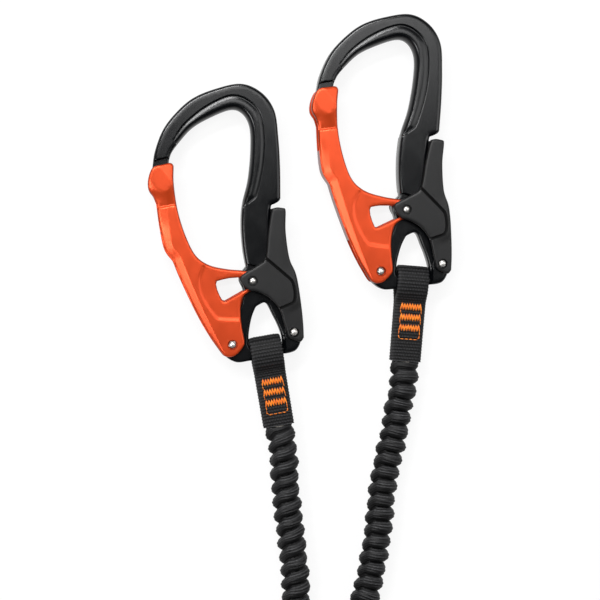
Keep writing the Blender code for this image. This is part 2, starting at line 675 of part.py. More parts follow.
def build_carabiner(name, side, meshes, looks):
    centre = empty(name + "_carabiner", (*side["place"], MID_HEIGHT), side["turn"])
    pivot = (*place(LEVER_PIVOT_SHARE), 0)
    pin = (*place(LOCK_PIN_SHARE), 0)
    piece(name + "_frame", meshes["frame"], looks["anodised"], centre)
    piece(name + "_gate", meshes["gate"], looks["orange"], centre)
    piece(name + "_lever", meshes["lever"], looks["grey"], centre, pivot)
    piece(name + "_gate_rivet", meshes["gate_rivet"], looks["steel"], centre)
    piece(name + "_lever_rivet", meshes["lever_rivet"], looks["steel"], centre, pivot)
    piece(name + "_lock_pin", meshes["lock_pin"], looks["steel"], centre, pin)
    piece(name + "_gate_spring", gate_spring(), looks["steel"], centre)
    piece(name + "_lever_spring", lever_spring(), looks["steel"], centre)
    hanger = empty(name + "_hanger", strap_origin(side), side["turn"] + side["swing"])
    piece(name + "_strap", meshes["strap"], looks["webbing"], hanger)
    piece(name + "_strap_stitches", meshes["stitches"], looks["thread"], hanger)


def build_arm(name, side, looks):
    route = arm_route(side)
    piece(name + "_sleeve", sleeve_mesh(route), looks["webbing"])
    centre = spaced(route, BORE_SPACING)
    piece(name + "_core", tube(centre, [CORE_RADIUS] * len(centre)), looks["rubber"])
    print(name, "arm length", round(sum((b - a).length for a, b in zip(route, route[1:])), 4))

    mouth = POUCH_MOUTH[1] - END_STRAP_OUTSIDE
    edge = STRAP_WIDTH / 2
    levels = tack_levels(-END_TACK_PLACE, 1)
    blank = slab((-edge, 0, -STRAP_THICKNESS), (edge, END_STRAP_LENGTH, STRAP_THICKNESS))
    strap = carve(blank, stitch_slots(levels, STRAP_THICKNESS))
    stitches = stitches_mesh(levels, STRAP_THICKNESS, False)
    spot = (side["end_x"], mouth, ARM_HEIGHT)
    piece(name + "_end_strap", strap, looks["webbing"], location=spot)
    piece(name + "_end_stitches", stitches, looks["thread"], location=spot)


def absorber_mesh():
    """Webbing folded to and fro, layer on layer, as one band seen from its edge."""
    pitch = ABSORBER_LAYER + ABSORBER_SPACE
    top = pitch * (ABSORBER_LAYERS - 1) + ABSORBER_LAYER
    end = ABSORBER_LENGTH
    fold = ABSORBER_LENGTH - ABSORBER_LAYER
    spaces = [(number * pitch - ABSORBER_SPACE, number * pitch) for number in range(1, ABSORBER_LAYERS)]
    ring = [(0, 0), (end, 0)]
    for low, high in spaces[::2]:
        ring += [(end, low), (ABSORBER_LAYER, low), (ABSORBER_LAYER, high), (end, high)]
    ring += [(end, top), (0, top)]
    for low, high in reversed(spaces[1::2]):
        ring += [(0, high), (fold, high), (fold, low), (0, low)]
    half = ABSORBER_WIDTH / 2
    return shape_mesh(moved(prism(ring, -half, half), turn=across()))


def shape_mesh(shape):
    """The mesh of a working object, which is used up."""
    mesh = shape.data
    bpy.data.objects.remove(shape, do_unlink=True)
    return mesh


def rounded_bag(inset, before, length):
    """A box with rounded far corners and soft edges, from before the mouth to the closed end."""
    half = POUCH_WIDTH / 2 - inset
    corner = POUCH_CORNER - inset
    right = arc((half - corner, length - corner), corner, 0, math.pi / 2, 5)
    left = arc((corner - half, length - corner), corner, math.pi / 2, math.pi, 5)
    ring = [Vector((-half, -before)), Vector((half, -before)), *right, *left]
    shape = prism(ring, inset, POUCH_HEIGHT - inset)
    edge = shape.modifiers.new("edge", "BEVEL")
    edge.width = POUCH_EDGE - inset
    edge.segments = 2
    edge.limit_method = "ANGLE"
    edge.angle_limit = math.radians(60)
    return loose(evaluated(shape))


def pouch_mesh():
    """The pouch with its mouth at Y 0, open there, and a slit under the zip."""
    trim = slab((-POUCH_WIDTH, -4 * POUCH_EDGE, -POUCH_HEIGHT), (POUCH_WIDTH, 0, 2 * POUCH_HEIGHT))
    room = rounded_bag(POUCH_WALL, 2 * POUCH_EDGE, POUCH_LENGTH - POUCH_WALL)
    half = ZIP_SLIT_WIDTH / 2
    start = zip_start() + ZIP_TAPE_WIDTH / 2
    end = zip_start() + ZIP_LENGTH - ZIP_TAPE_WIDTH / 2
    roof = POUCH_HEIGHT - POUCH_WALL - CUT_OVERRUN
    slit = slab((-half, start, roof), (half, end, POUCH_HEIGHT + CUT_OVERRUN))
    return carve(rounded_bag(0, POUCH_EDGE * 2, POUCH_LENGTH), [trim, room, slit])


def zip_start():
    return (POUCH_LENGTH - ZIP_LENGTH) / 2


def long_section(ring, start, end):
    """A section in X and Z carried along Y from start to end."""
    return moved(prism(ring, -end, -start), turn=along())


def zip_tape_mesh():
    """Both tapes and the closed chain, resting on the pouch."""
    tape, chain = ZIP_TAPE_WIDTH / 2, ZIP_CHAIN_WIDTH / 2
    top = ZIP_TAPE_THICKNESS + ZIP_CHAIN_HEIGHT
    half = [(tape, 0), (tape, ZIP_TAPE_THICKNESS), (chain, ZIP_TAPE_THICKNESS), (chain, top)]
    ring = half + [(-x, z) for x, z in reversed(half)]
    return shape_mesh(long_section(ring, 0, ZIP_LENGTH))


def zip_slider_mesh():
    """The slider over the chain, with two ears and the pin that the pull hangs on."""
    side = SLIDER_WIDTH / 2
    groove = ZIP_CHAIN_WIDTH / 2 + RUNNING_GAP
    roof = ZIP_CHAIN_HEIGHT
    half = [(groove, roof), (groove, 0), (side, 0), (side, SLIDER_HEIGHT)]
    ring = half + [(-x, z) for x, z in reversed(half)]
    body = long_section(ring, -SLIDER_LENGTH / 2, SLIDER_LENGTH / 2)
    ears = []
    for sign in (-1, 1):
        near, far = sorted((sign * EAR_SPACING / 2, sign * (EAR_SPACING / 2 + EAR_THICKNESS)))
        low = (near, -EAR_LENGTH / 2, SLIDER_HEIGHT - EAR_THICKNESS)
        ears.append(slab(low, (far, EAR_LENGTH / 2, SLIDER_HEIGHT + EAR_HEIGHT)))
    reach = EAR_SPACING / 2 + EAR_THICKNESS / 2
    pin = turned([(PULL_PIN_RADIUS, -reach), (PULL_PIN_RADIUS, reach)], 8)
    ears.append(moved(pin, (0, 0, pull_height()), across()))
    return carve(body, joined=ears)


def pull_height():
    return SLIDER_HEIGHT + RUNNING_GAP + PULL_EYE_RADIUS


def zip_pull_mesh():
    """The pull about its own pin, lying along Y."""
    half = PULL_THICKNESS / 2
    eye_half = EAR_SPACING / 2 - RUNNING_GAP
    eye = turned([(PULL_EYE_RADIUS, -eye_half), (PULL_EYE_RADIUS, eye_half)], 12)
    neck = slab((-eye_half, PULL_EYE_RADIUS / 2, -half), (eye_half, PULL_EYE_RADIUS + EAR_LENGTH, half))
    start = EAR_LENGTH / 2 + PULL_EYE_RADIUS
    tab = slab((-PULL_WIDTH / 2, start, -half), (PULL_WIDTH / 2, PULL_LENGTH, half))
    over = eye_half + CUT_OVERRUN
    hole = turned([(PULL_HOLE_RADIUS, -over), (PULL_HOLE_RADIUS, over)], 12)
    return carve(moved(eye, turn=across()), [moved(hole, turn=across())], [neck, tab])


def tie_in_loop_mesh():
    """The sewn loop from its edge: a tail in the pouch, and an eye that lies on the floor."""
    tail = ARM_HEIGHT
    end = LOOP_HEIGHT / 2
    neck = LOOP_EYE - LOOP_REACH
    outer_end = arc((end - LOOP_REACH, end), end, -math.pi / 2, -3 * math.pi / 2, 9)
    inner = end - LOOP_THICKNESS
    inner_end = arc((end - LOOP_REACH, end), inner, -math.pi / 2, -3 * math.pi / 2, 9)
    outer = [(LOOP_TAIL, tail + LOOP_THICKNESS), (LOOP_TAIL, tail - LOOP_THICKNESS),
             (neck, tail - LOOP_THICKNESS), (neck - LOOP_EYE / 5, 0), *outer_end,
             (neck - LOOP_EYE / 5, LOOP_HEIGHT), (neck, tail + LOOP_THICKNESS)]
    hole = [(neck - LOOP_THICKNESS, tail), (neck - LOOP_EYE / 5, LOOP_THICKNESS), *inner_end,
            (neck - LOOP_EYE / 5, LOOP_HEIGHT - LOOP_THICKNESS)]
    half = LOOP_WIDTH / 2
    over = half + CUT_OVERRUN
    cutters = [moved(prism(hole, -over, over), turn=across())]
    cutters += [moved(slot, (0, 0, ARM_HEIGHT)) for slot in stitch_slots(loop_tacks(), LOOP_THICKNESS)]
    return carve(moved(prism(outer, -half, half), turn=across()), cutters)


def loop_tacks():
    return tack_levels(LOOP_REACH - LOOP_EYE - LOOP_THICKNESS - TACK_HEIGHT, 1)


def build_absorber_pouch(looks):
    mouth = empty("mouth", (*POUCH_MOUTH, 0))
    inside = END_STRAP_LENGTH - END_STRAP_OUTSIDE + RUNNING_GAP
    piece("pouch", pouch_mesh(), looks["cloth"], mouth)
    piece("absorber", absorber_mesh(), looks["webbing"], mouth, (0, inside, POUCH_WALL + RUNNING_GAP))

    loop_x = LOOP_X - POUCH_MOUTH[0]
    piece("tie_in_loop", tie_in_loop_mesh(), looks["webbing"], mouth, (loop_x, 0, 0))
    tacks = stitches_mesh(loop_tacks(), LOOP_THICKNESS, False)
    piece("tie_in_stitches", tacks, looks["thread"], mouth, (loop_x, 0, ARM_HEIGHT))

    tape_top = POUCH_HEIGHT + RUNNING_GAP + ZIP_TAPE_THICKNESS
    tape = (0, zip_start(), POUCH_HEIGHT + RUNNING_GAP)
    piece("zip_tape", zip_tape_mesh(), looks["cloth"], mouth, tape)
    slider = (0, zip_start() + SLIDER_LENGTH / 2 + RUNNING_GAP, tape_top + RUNNING_GAP)
    piece("zip_slider", zip_slider_mesh(), looks["steel"], mouth, slider)
    pull = (slider[0], slider[1], slider[2] + pull_height())
    piece("zip_pull", zip_pull_mesh(), looks["grey"], mouth, pull)


def centre_on_floor():
    """Moves everything so that the pieces, without the free arms, stand centred over the origin."""
    bpy.context.view_layer.update()
    corners = []
    for thing in bpy.data.objects:
        if thing.type == "MESH" and not thing.name.endswith("_sleeve"):
            corners += [thing.matrix_world @ vertex.co for vertex in thing.data.vertices]
    lows = [min(corner[axis] for corner in corners) for axis in range(3)]
    highs = [max(corner[axis] for corner in corners) for axis in range(3)]
    shift = Vector((-(lows[0] + highs[0]) / 2, -(lows[1] + highs[1]) / 2, -lows[2]))
    for thing in bpy.data.objects:
        if thing.parent is None:
            thing.location += shift
    print("shift", [round(value, 5) for value in shift])


def main():
    looks = {
        "anodised": material("anodised", (0.028, 0.030, 0.036), 0.35, 0.6),
        "orange": material("orange", (0.80, 0.11, 0.035), 0.32, 0.5),
        "grey": material("grey", (0.045, 0.045, 0.047), 0.55, 0.1),
        "steel": material("steel", (0.55, 0.55, 0.55), 0.25, 1),
        "webbing": material("webbing", (0.018, 0.018, 0.020), 0.9, 0),
        "thread": material("thread", (0.90, 0.22, 0.03), 0.7, 0),
        "rubber": material("rubber", (0.35, 0.33, 0.30), 0.7, 0),
        "cloth": material("cloth", (0.030, 0.030, 0.032), 0.85, 0),
    }
    meshes = {
        "frame": frame_mesh(),
        "gate": gate_mesh(),
        "lever": lever_mesh(),
        "gate_rivet": rivet_mesh(RIVET_RADIUS, GATE_OUTER),
        "lever_rivet": rivet_mesh(RIVET_RADIUS, LEVER_OUTER),
        "lock_pin": rivet_mesh(LOCK_PIN_RADIUS, LEVER_OUTER),
        "strap": strap_mesh(),
        "stitches": stitches_mesh(tack_levels(TACK_FIRST, TACK_COUNT), STRAP_THICKNESS, True),
    }
    sides = {
        "left": {"place": LEFT_PLACE, "turn": LEFT_TURN, "swing": LEFT_STRAP_SWING,
                 "route": LEFT_ROUTE, "end_x": LEFT_END_STRAP_X},
        "right": {"place": RIGHT_PLACE, "turn": RIGHT_TURN, "swing": RIGHT_STRAP_SWING,
                  "route": RIGHT_ROUTE, "end_x": RIGHT_END_STRAP_X},
    }
    for name, side in sides.items():
        build_carabiner(name, side, meshes, looks)
        build_arm(name, side, looks)
    build_absorber_pouch(looks)
    centre_on_floor()


clear_scene()
main()
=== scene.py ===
"""Looks of the via ferrata lanyard: two palm-squeeze carabiners on gathered elastic arms, with the
absorber pouch and the tie-in loop. Everything is in metres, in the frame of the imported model."""

import json
import math
from functools import reduce

import bmesh
import bpy
import numpy as np
from mathutils import Matrix, Vector
from mathutils.geometry import delaunay_2d_cdt

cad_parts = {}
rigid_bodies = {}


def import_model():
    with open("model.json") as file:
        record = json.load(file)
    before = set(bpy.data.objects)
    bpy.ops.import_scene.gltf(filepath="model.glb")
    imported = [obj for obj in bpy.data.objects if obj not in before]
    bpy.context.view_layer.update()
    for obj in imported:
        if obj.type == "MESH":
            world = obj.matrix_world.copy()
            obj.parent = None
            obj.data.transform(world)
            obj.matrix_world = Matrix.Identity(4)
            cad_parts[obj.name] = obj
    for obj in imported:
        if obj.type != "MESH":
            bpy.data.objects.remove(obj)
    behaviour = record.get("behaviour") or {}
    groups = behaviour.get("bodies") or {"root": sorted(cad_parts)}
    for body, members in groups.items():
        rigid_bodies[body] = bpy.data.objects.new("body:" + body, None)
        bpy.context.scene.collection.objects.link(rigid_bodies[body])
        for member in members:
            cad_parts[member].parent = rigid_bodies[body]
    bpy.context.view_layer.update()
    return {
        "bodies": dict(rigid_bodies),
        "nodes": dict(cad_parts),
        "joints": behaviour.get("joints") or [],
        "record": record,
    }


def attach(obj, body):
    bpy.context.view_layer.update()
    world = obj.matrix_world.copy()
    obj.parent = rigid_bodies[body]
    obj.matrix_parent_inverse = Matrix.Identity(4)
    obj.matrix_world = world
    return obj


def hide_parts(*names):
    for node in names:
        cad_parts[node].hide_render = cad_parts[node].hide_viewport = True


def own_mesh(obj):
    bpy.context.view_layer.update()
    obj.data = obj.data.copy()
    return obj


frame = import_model()

MM = 0.001
X, Y, Z = Vector((1, 0, 0)), Vector((0, 1, 0)), Vector((0, 0, 1))

# Camera: it looks down on the photograph's middle, a little from the left
AIM = Vector((-0.01204, 0.11570, 0.0125))
CAMERA_DISTANCE = 0.60
CAMERA_YAW = math.radians(6.3)
CAMERA_PITCH = math.radians(-2.7)
VIEW_SPAN = 0.2777
SENSOR = 36.0

# The carabiner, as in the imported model
WIDTH = 0.071
LENGTH = 0.1285
HOOK_HALF = 0.0050
WAIST_HALF = 0.0033
GATE_INNER = 0.0036
GATE_OUTER = 0.0054
LEVER_INNER = 0.0057
LEVER_OUTER = 0.0077
MID_HEIGHT = 0.0077
WEB = 0.0020
RUNNING_GAP = 0.0003
SHIFT = Vector((-0.01203, 0.11568, 0))
SIDES = {
    "left": {"place": (-0.0313, -0.0205), "turn": 0, "swing": math.radians(9.5), "end_x": 0.0805},
    "right": {"place": (0.0379, 0.0132), "turn": math.radians(-4.5), "swing": 0, "end_x": 0.0635},
}
ROUTES = {
    "left": [(-0.0066, -0.0840), (-0.0056, -0.0950), (-0.0044, -0.1060), (-0.0030, -0.1170),
             (-0.0018, -0.1280), (-0.0015, -0.1400), (-0.0030, -0.1550), (-0.0070, -0.1750),
             (-0.0110, -0.1950), (-0.0140, -0.2200), (-0.0150, -0.2500), (-0.0150, -0.2850),
             (-0.0150, -0.3200), (-0.0150, -0.3520), (-0.0086, -0.3760), (0.0090, -0.3936),
             (0.0330, -0.4000), (0.0570, -0.3936), (0.0746, -0.3760), (0.0810, -0.3520),
             (0.0812, -0.3300)],
    "right": [(0.0476, -0.0500), (0.0460, -0.0610), (0.0434, -0.0720), (0.0410, -0.0830),
              (0.0396, -0.0940), (0.0384, -0.1050), (0.0369, -0.1160), (0.0350, -0.1280),
              (0.0315, -0.1420), (0.0250, -0.1600), (0.0160, -0.1800), (0.0080, -0.2000),
              (0.0030, -0.2250), (0.0020, -0.2550), (0.0020, -0.2900), (0.0020, -0.3250),
              (0.0020, -0.3520), (0.0062, -0.3675), (0.0175, -0.3788), (0.0330, -0.3830),
              (0.0485, -0.3788), (0.0598, -0.3675), (0.0640, -0.3520), (0.0640, -0.3300)],
}
LEVER_PIVOT = (0.40 * WIDTH, 0.045 * LENGTH)
LOCK_PIN = (0.13 * WIDTH, 0.23 * LENGTH)

# Strap and arm
STRAP_THICKNESS = 0.0027
STRAP_WIDTH = 0.0142
STRAP_LENGTH = 0.0435
STRAP_CENTRE = 0.208 * WIDTH
STRAP_TOP = 0.0032
BAR_DEPTH = 0.0083
STRAP_SPLICE = 0.0055
ARM_HEIGHT = 0.0068
CREST_RADIUS = 0.0066
RIB_PITCH = 0.0066
BORE_RADIUS = 0.0036
CORE_RADIUS = 0.0030
MOUTH = Vector((0.062, -0.272, 0))
END_STRAP_LENGTH = 0.0450
END_STRAP_OUTSIDE = 0.0250
EARLY_SLEEVE = {"left": 0.0016, "right": -0.0010}
STITCH_RISE = {"left": 0, "right": 0.0020}
STRAP_SHIFT = {"left": 0.0006, "right": 0.0009}

# The plan of a forged piece: its grid, and the rows of points beside its edges as shares of a strip
PLAN_SPACING = 0.0009
GRID_RISE = 0.87
GRID_CELL = 0.6
GRID_CLEAR = 1.1
RING_STEP = 0.0006
SHORTEST_STEP = 0.0001
EDGE_ROWS = (0.1, 0.3, 0.5, 0.75, 1.0)
ROWS_CLEAR = 0.08
ROW_CELL = 0.00011
CHAMFER_SOFTNESS = 0.0004


# ---- curves and meshes ------------------------------------------------------------------------

def smooth(points, steps):
    """Points on the smooth curve that passes through all the given ones."""
    points = [Vector(point) for point in points]
    ends = [2 * points[0] - points[1], *points, 2 * points[-1] - points[-2]]
    curve = []
    for before, here, there, after in zip(ends, ends[1:], ends[2:], ends[3:]):
        for step in range(steps):
            t = step / steps
            pull = (there - before) * t + (2 * before - 5 * here + 4 * there - after) * t ** 2
            curve.append(here + (pull + (3 * here - 3 * there + after - before) * t ** 3) / 2)
    curve.append(points[-1])
    return curve


def placed(shares):
    return [Vector((x * WIDTH, y * LENGTH)) for x, y in shares]


def millimetres(points):
    return [Vector((x * MM, y * MM)) for x, y in points]


def ring_of(*runs):
    """A closed ring of plan points through smooth runs that meet at corners."""
    ring = []
    for run in runs:
        ring += spaced(smooth(placed(run), 8), RING_STEP)
    return [a for a, b in zip(ring, ring[-1:] + ring[:-1]) if (a - b).length > SHORTEST_STEP]


def turns_of(count):
    """Even angles round a section."""
    return [math.tau * step / count for step in range(count)]


def circle(centre, radius, sides=32):
    x, y = centre
    return [Vector((x + radius * math.cos(a), y + radius * math.sin(a))) for a in turns_of(sides)]


def ahead_at(path, index):
    """The way the path heads at that point."""
    return path[min(index + 1, len(path) - 1)] - path[max(index - 1, 0)]


def beside(points, distance, closed=False):
    """The run shifted sideways, to the right of its own direction when positive."""
    shifted = []
    for index, point in enumerate(points):
        around = points[(index + 1) % len(points)] - points[index - 1]
        ahead = around if closed else ahead_at(points, index)
        shifted.append(point + Vector((ahead.y, -ahead.x)).normalized() * distance)
    return shifted


def spaced(points, spacing):
    """Points at even steps along a run, with about the given spacing."""
    points = [np.array(point, float) for point in points]
    steps = [np.linalg.norm(there - here) for here, there in zip(points, points[1:])]
    lengths = np.concatenate([[0], np.cumsum(steps)])
    count = max(round(lengths[-1] / spacing), 1)
    at = np.linspace(0, lengths[-1], count + 1)
    columns = np.array(points).T
    return [Vector([float(np.interp(s, lengths, column)) for column in columns]) for s in at]


def lengths_along(points):
    """How far along the run each of its points lies."""
    return np.concatenate([[0], np.cumsum([(b - a).length for a, b in zip(points, points[1:])])])


def run_length(points):
    return sum((b - a).length for a, b in zip(points, points[1:]))


def linked(name, data):
    made = bpy.data.objects.new(name, data)
    bpy.context.scene.collection.objects.link(made)
    return made


def bridged(shape, rings):
    """Faces between each ring of vertices and the next, in their order."""
    faces = []
    for lower, upper in zip(rings, rings[1:]):
        for spot in range(len(lower)):
            after = (spot + 1) % len(lower)
            faces.append(shape.faces.new((lower[spot], lower[after], upper[after], upper[spot])))
    return faces


def meshed(shape):
    """The mesh of a finished working shape, which is used up."""
    bmesh.ops.recalc_face_normals(shape, faces=shape.faces)
    mesh = bpy.data.meshes.new("shape")
    shape.to_mesh(mesh)
    shape.free()
    return mesh


def prism(points, low, high):
    """A cutter that stands on a plan and reaches from low to high."""
    shape = bmesh.new()
    base = shape.faces.new([shape.verts.new((point[0], point[1], low)) for point in points])
    raised = bmesh.ops.extrude_face_region(shape, geom=[base])["geom"]
    corners = [part for part in raised if isinstance(part, bmesh.types.BMVert)]
    bmesh.ops.translate(shape, verts=corners, vec=(0, 0, high - low))
    return linked("cutter", meshed(shape))


def carved(mesh, cutters):
    """The mesh with the cutters taken away; the cutters are used up."""
    blank = linked("blank", mesh)
    for cutter in cutters:
        step = blank.modifiers.new("cut", "BOOLEAN")
        step.operation = "DIFFERENCE"
        step.solver = "EXACT"
        step.object = cutter
    bpy.context.view_layer.update()
    carving = blank.evaluated_get(bpy.context.evaluated_depsgraph_get())
    made = bpy.data.meshes.new_from_object(carving)
    for used in [blank, *cutters]:
        bpy.data.objects.remove(used, do_unlink=True)
    return made


def distances(points, line, closed=False):
    """Each point's distance to a run of plan points, and its side (positive to the left)."""
    spots = np.array(points, float)[:, :2]
    run = [np.array(point, float)[:2] for point in line]
    if closed:
        run = run + run[:1]
    best = np.full(len(spots), 1e9)
    side = np.zeros(len(spots))
    for start, end in zip(run, run[1:]):
        along = end - start
        length = max(float(along @ along), 1e-18)
        share = np.clip(((spots - start) @ along) / length, 0, 1)
        away = spots - (start + share[:, None] * along)
        distance = np.hypot(away[:, 0], away[:, 1])
        turn = along[0] * away[:, 1] - along[1] * away[:, 0]
        nearer = distance < best
        best = np.where(nearer, distance, best)
        side = np.where(nearer, np.sign(turn), side)
    return best, side


def inside(points, ring):
    spots = np.array(points, float)[:, :2]
    found = np.zeros(len(spots), bool)
    run = [np.array(point, float)[:2] for point in ring]
    for start, end in zip(run, run[1:] + run[:1]):
        spans = (start[1] > spots[:, 1]) != (end[1] > spots[:, 1])
        rise = end[1] - start[1]
        rise = rise if abs(rise) > 1e-15 else 1e-15
        crossing = (end[0] - start[0]) * (spots[:, 1] - start[1]) / rise + start[0]
        found ^= spans & (spots[:, 0] < crossing)
    return found


def ease(value, low, high):
    """Smooth step from 0 at low to 1 at high."""
    t = np.clip((value - low) / (high - low), 0, 1)
    return t * t * (3 - 2 * t)


def rounding(distance, radius):
    """How far a rounded edge of that radius lies below the face at that distance from the edge."""
    short = np.clip(radius - distance, 0, radius)
    return radius - np.sqrt(radius ** 2 - short ** 2)


def chamfer(distance, reach, slope):
    """How far a soft chamfer, which starts at that reach from the edge, lies below the face."""
    short = np.clip(reach - distance, 0, reach)
    return slope * short ** 2 / (short + CHAMFER_SOFTNESS)


def forged(ring, holes, height, lines, edge):
    """A flat piece, the same on both faces: its plan is the ring less the holes, and height(points)
    gives the half thickness. Fine rows of points follow the given lines and fill a strip as wide as
    edge beside each outline."""
    rings = [ring, *holes]
    fixed, edges = [], []
    for loop in rings:
        start = len(fixed)
        fixed += [Vector(point) for point in loop]
        edges += [(start + i, start + (i + 1) % len(loop)) for i in range(len(loop))]
    rows = []
    for loop in rings:
        for share in EDGE_ROWS:
            for way in (-1, 1):
                rows += beside(loop, way * edge * share, closed=True)
    for line in lines:
        rows += line
    lows = np.min(np.array(ring, float), axis=0)
    highs = np.max(np.array(ring, float), axis=0)
    grid = []
    rise = PLAN_SPACING * GRID_RISE
    for row in range(int((highs[1] - lows[1]) / rise) + 1):
        offset = PLAN_SPACING / 2 if row % 2 else 0
        for column in range(int((highs[0] - lows[0]) / PLAN_SPACING) + 1):
            grid.append((lows[0] + offset + column * PLAN_SPACING, lows[1] + row * rise))

    def solid(spots):
        """Which of the spots lie in the ring and outside its holes."""
        good = inside(spots, ring)
        for hole in holes:
            good &= ~inside(spots, hole)
        return good

    def kept(points, clear):
        spots = np.array(points, float)
        spots = spots[solid(spots)]
        for loop in rings:
            spots = spots[distances(spots, loop, closed=True)[0] > clear]
        return spots

    def cells_of(spots, size):
        return np.round(spots / size).astype(int)

    rows = kept([tuple(point) for point in rows], edge * ROWS_CLEAR)
    _, keep = np.unique(cells_of(rows, ROW_CELL), axis=0, return_index=True)
    rows = rows[np.sort(keep)]
    grid = kept(grid, edge * GRID_CLEAR)
    cells = {tuple(cell) for cell in cells_of(rows, PLAN_SPACING * GRID_CELL)}
    grid = [spot for spot in grid if tuple(cells_of(spot, PLAN_SPACING * GRID_CELL)) not in cells]
    plan = fixed + [Vector(spot) for spot in rows] + [Vector(spot) for spot in grid]
    made = delaunay_2d_cdt(plan, edges, [], 1, 1e-7)
    spots = np.array(made[0], float)
    faces = np.array([face for face in made[2] if len(face) == 3], int)
    faces = faces[solid(spots[faces].mean(axis=1))]
    tops = height(spots)

    count = len(spots)
    upper = np.column_stack([spots, tops])
    lower = np.column_stack([spots, -tops])
    corners = faces[:, [0, 1, 1, 2, 2, 0]].reshape(-1, 2)
    keys = np.sort(corners, axis=1)
    _, first, times = np.unique(keys, axis=0, return_index=True, return_counts=True)
    rim = corners[first[times == 1]]
    walls = [(a, a + count, b + count, b) for a, b in rim]
    below = faces[:, ::-1] + count
    skin = faces.tolist() + below.tolist() + walls
    mesh = bpy.data.meshes.new("forged")
    mesh.from_pydata(np.vstack([upper, lower]).tolist(), [], skin)
    shape = bmesh.new()
    shape.from_mesh(mesh)
    loose = [vert for vert in shape.verts if not vert.link_faces]
    bmesh.ops.delete(shape, geom=loose, context="VERTS")
    bpy.data.meshes.remove(mesh)
    return meshed(shape)


# ---- materials --------------------------------------------------------------------------------

class Graph:
    """A node tree. Each socket of a new node takes a plain value or another node's output."""

    def __init__(self, tree):
        self.nodes, self.links = tree.nodes, tree.links

    def add(self, kind, sockets=(), **settings):
        node = self.nodes.new(kind)
        for key, value in settings.items():
            setattr(node, key, value)
        for socket, value in dict(sockets).items():
            if hasattr(value, "links"):
                self.links.new(value, node.inputs[socket])
            else:
                node.inputs[socket].default_value = value
        return node

    def math(self, operation, first, second=0.0):
        node = self.add("ShaderNodeMath", enumerate((first, second)), operation=operation)
        return node.outputs[0]

    def product(self, *values):
        return reduce(lambda first, second: self.math("MULTIPLY", first, second), values)

    def span(self, value, low, high, to_low=0.0, to_high=1.0):
        """The value's way from low to high, clamped, as one from to_low to to_high."""
        sockets = enumerate((value, low, high, to_low, to_high))
        return self.add("ShaderNodeMapRange", sockets).outputs[0]

    def mix(self, share, first, second):
        """The first colour where the share is 0 and the second where it is 1."""
        sockets = {0: share}
        for index, value in ((6, first), (7, second)):
            sockets[index] = value if hasattr(value, "links") else (*value, 1)
        return self.add("ShaderNodeMix", sockets, data_type="RGBA").outputs[2]

    def shown_ray(self):
        """1 for the rays that show the background: to the camera, off gloss and through glass."""
        path = self.add("ShaderNodeLightPath").outputs
        either = self.math("MAXIMUM", path["Is Camera Ray"], path["Is Glossy Ray"])
        return self.math("MAXIMUM", either, path["Is Transmission Ray"])


class Look(Graph):
    """A material. What is the same all over it is set on its shader's own sockets."""

    def __init__(self, name, colour, roughness, metallic=0, **sockets):
        self.made = bpy.data.materials.new(name)
        self.made.use_nodes = True
        super().__init__(self.made.node_tree)
        self.shader = self.nodes["Principled BSDF"]
        sockets.update(Base_Color=(*colour, 1), Roughness=roughness, Metallic=metallic)
        for socket, value in sockets.items():
            self.shader.inputs[socket.replace("_", " ")].default_value = value
        self.made.diffuse_color = (*colour, 1)
        self.bumps = None

    def place(self):
        return self.add("ShaderNodeTexCoord").outputs["Object"]

    def weave(self):
        """The map that gives a band's or a sleeve's own directions."""
        return self.add("ShaderNodeUVMap", uv_map="weave").outputs[0]

    def stretched(self, at, x, y):
        return self.add("ShaderNodeMapping", {"Vector": at, "Scale": (x, y, 1)}).outputs[0]

    def crest(self):
        return self.add("ShaderNodeNewGeometry").outputs["Pointiness"]

    def noise(self, scale, detail, roughness=0.6, at=None):
        sockets = {"Scale": scale, "Detail": detail, "Roughness": roughness}
        sockets["Vector"] = at or self.place()
        return self.add("ShaderNodeTexNoise", sockets).outputs["Fac"]

    def blotches(self, scale, detail, low=0.0, high=1.0):
        """Noise with firm contrast, between low and high."""
        return self.span(self.noise(scale, detail), 0.3, 0.7, low, high)

    def wave(self, at, scale, direction, distortion=0.0):
        sockets = {"Vector": at, "Scale": scale, "Distortion": distortion}
        return self.add("ShaderNodeTexWave", sockets, bands_direction=direction).outputs["Fac"]

    def colour(self, value):
        self.links.new(value, self.shader.inputs["Base Color"])

    def roughness(self, value):
        self.links.new(value, self.shader.inputs["Roughness"])

    def bump(self, height, strength, distance):
        sockets = {"Height": height, "Strength": strength, "Distance": distance}
        if self.bumps:
            sockets["Normal"] = self.bumps
        self.bumps = self.add("ShaderNodeBump", sockets).outputs[0]
        self.links.new(self.bumps, self.shader.inputs["Normal"])


def metal_look(name, colour, wear_and_painted_light, roughness, metallic, grain, walls=None, **sockets):
    """Satin metal: fine blasted grain, slow drifts of tone and paler edges from wear. walls paints
    shade on upright walls: the share of the colour that they keep, and the slopes between which it
    fades in."""
    look = Look(name, colour, roughness, metallic, **sockets)
    scuffs = look.product(look.span(look.crest(), 0.57, 0.70, 0, 0.4),
                          look.span(look.noise(420, 4), 0.4, 0.7))
    deeper, paler = [c * 0.93 for c in colour], [min(c * 1.07, 1) for c in colour]
    toned = look.mix(scuffs, look.mix(look.blotches(60, 2), deeper, paler), wear_and_painted_light)
    # painted shade: upright walls get a darker copy of the colour, fading to the full colour on
    # level faces
    if walls:
        share, steep, level = walls
        normal = look.add("ShaderNodeNewGeometry").outputs["True Normal"]
        rise = look.add("ShaderNodeSeparateXYZ", {"Vector": normal}).outputs["Z"]
        wall_shade_mix = look.span(look.math("ABSOLUTE", rise), steep, level)
        toned = look.mix(wall_shade_mix, [c * share for c in colour], toned)
    look.colour(toned)
    look.roughness(look.blotches(120, 2, roughness - 0.02, roughness + 0.03))
    look.bump(look.noise(2600, 2), 0.1, grain)
    return look.made


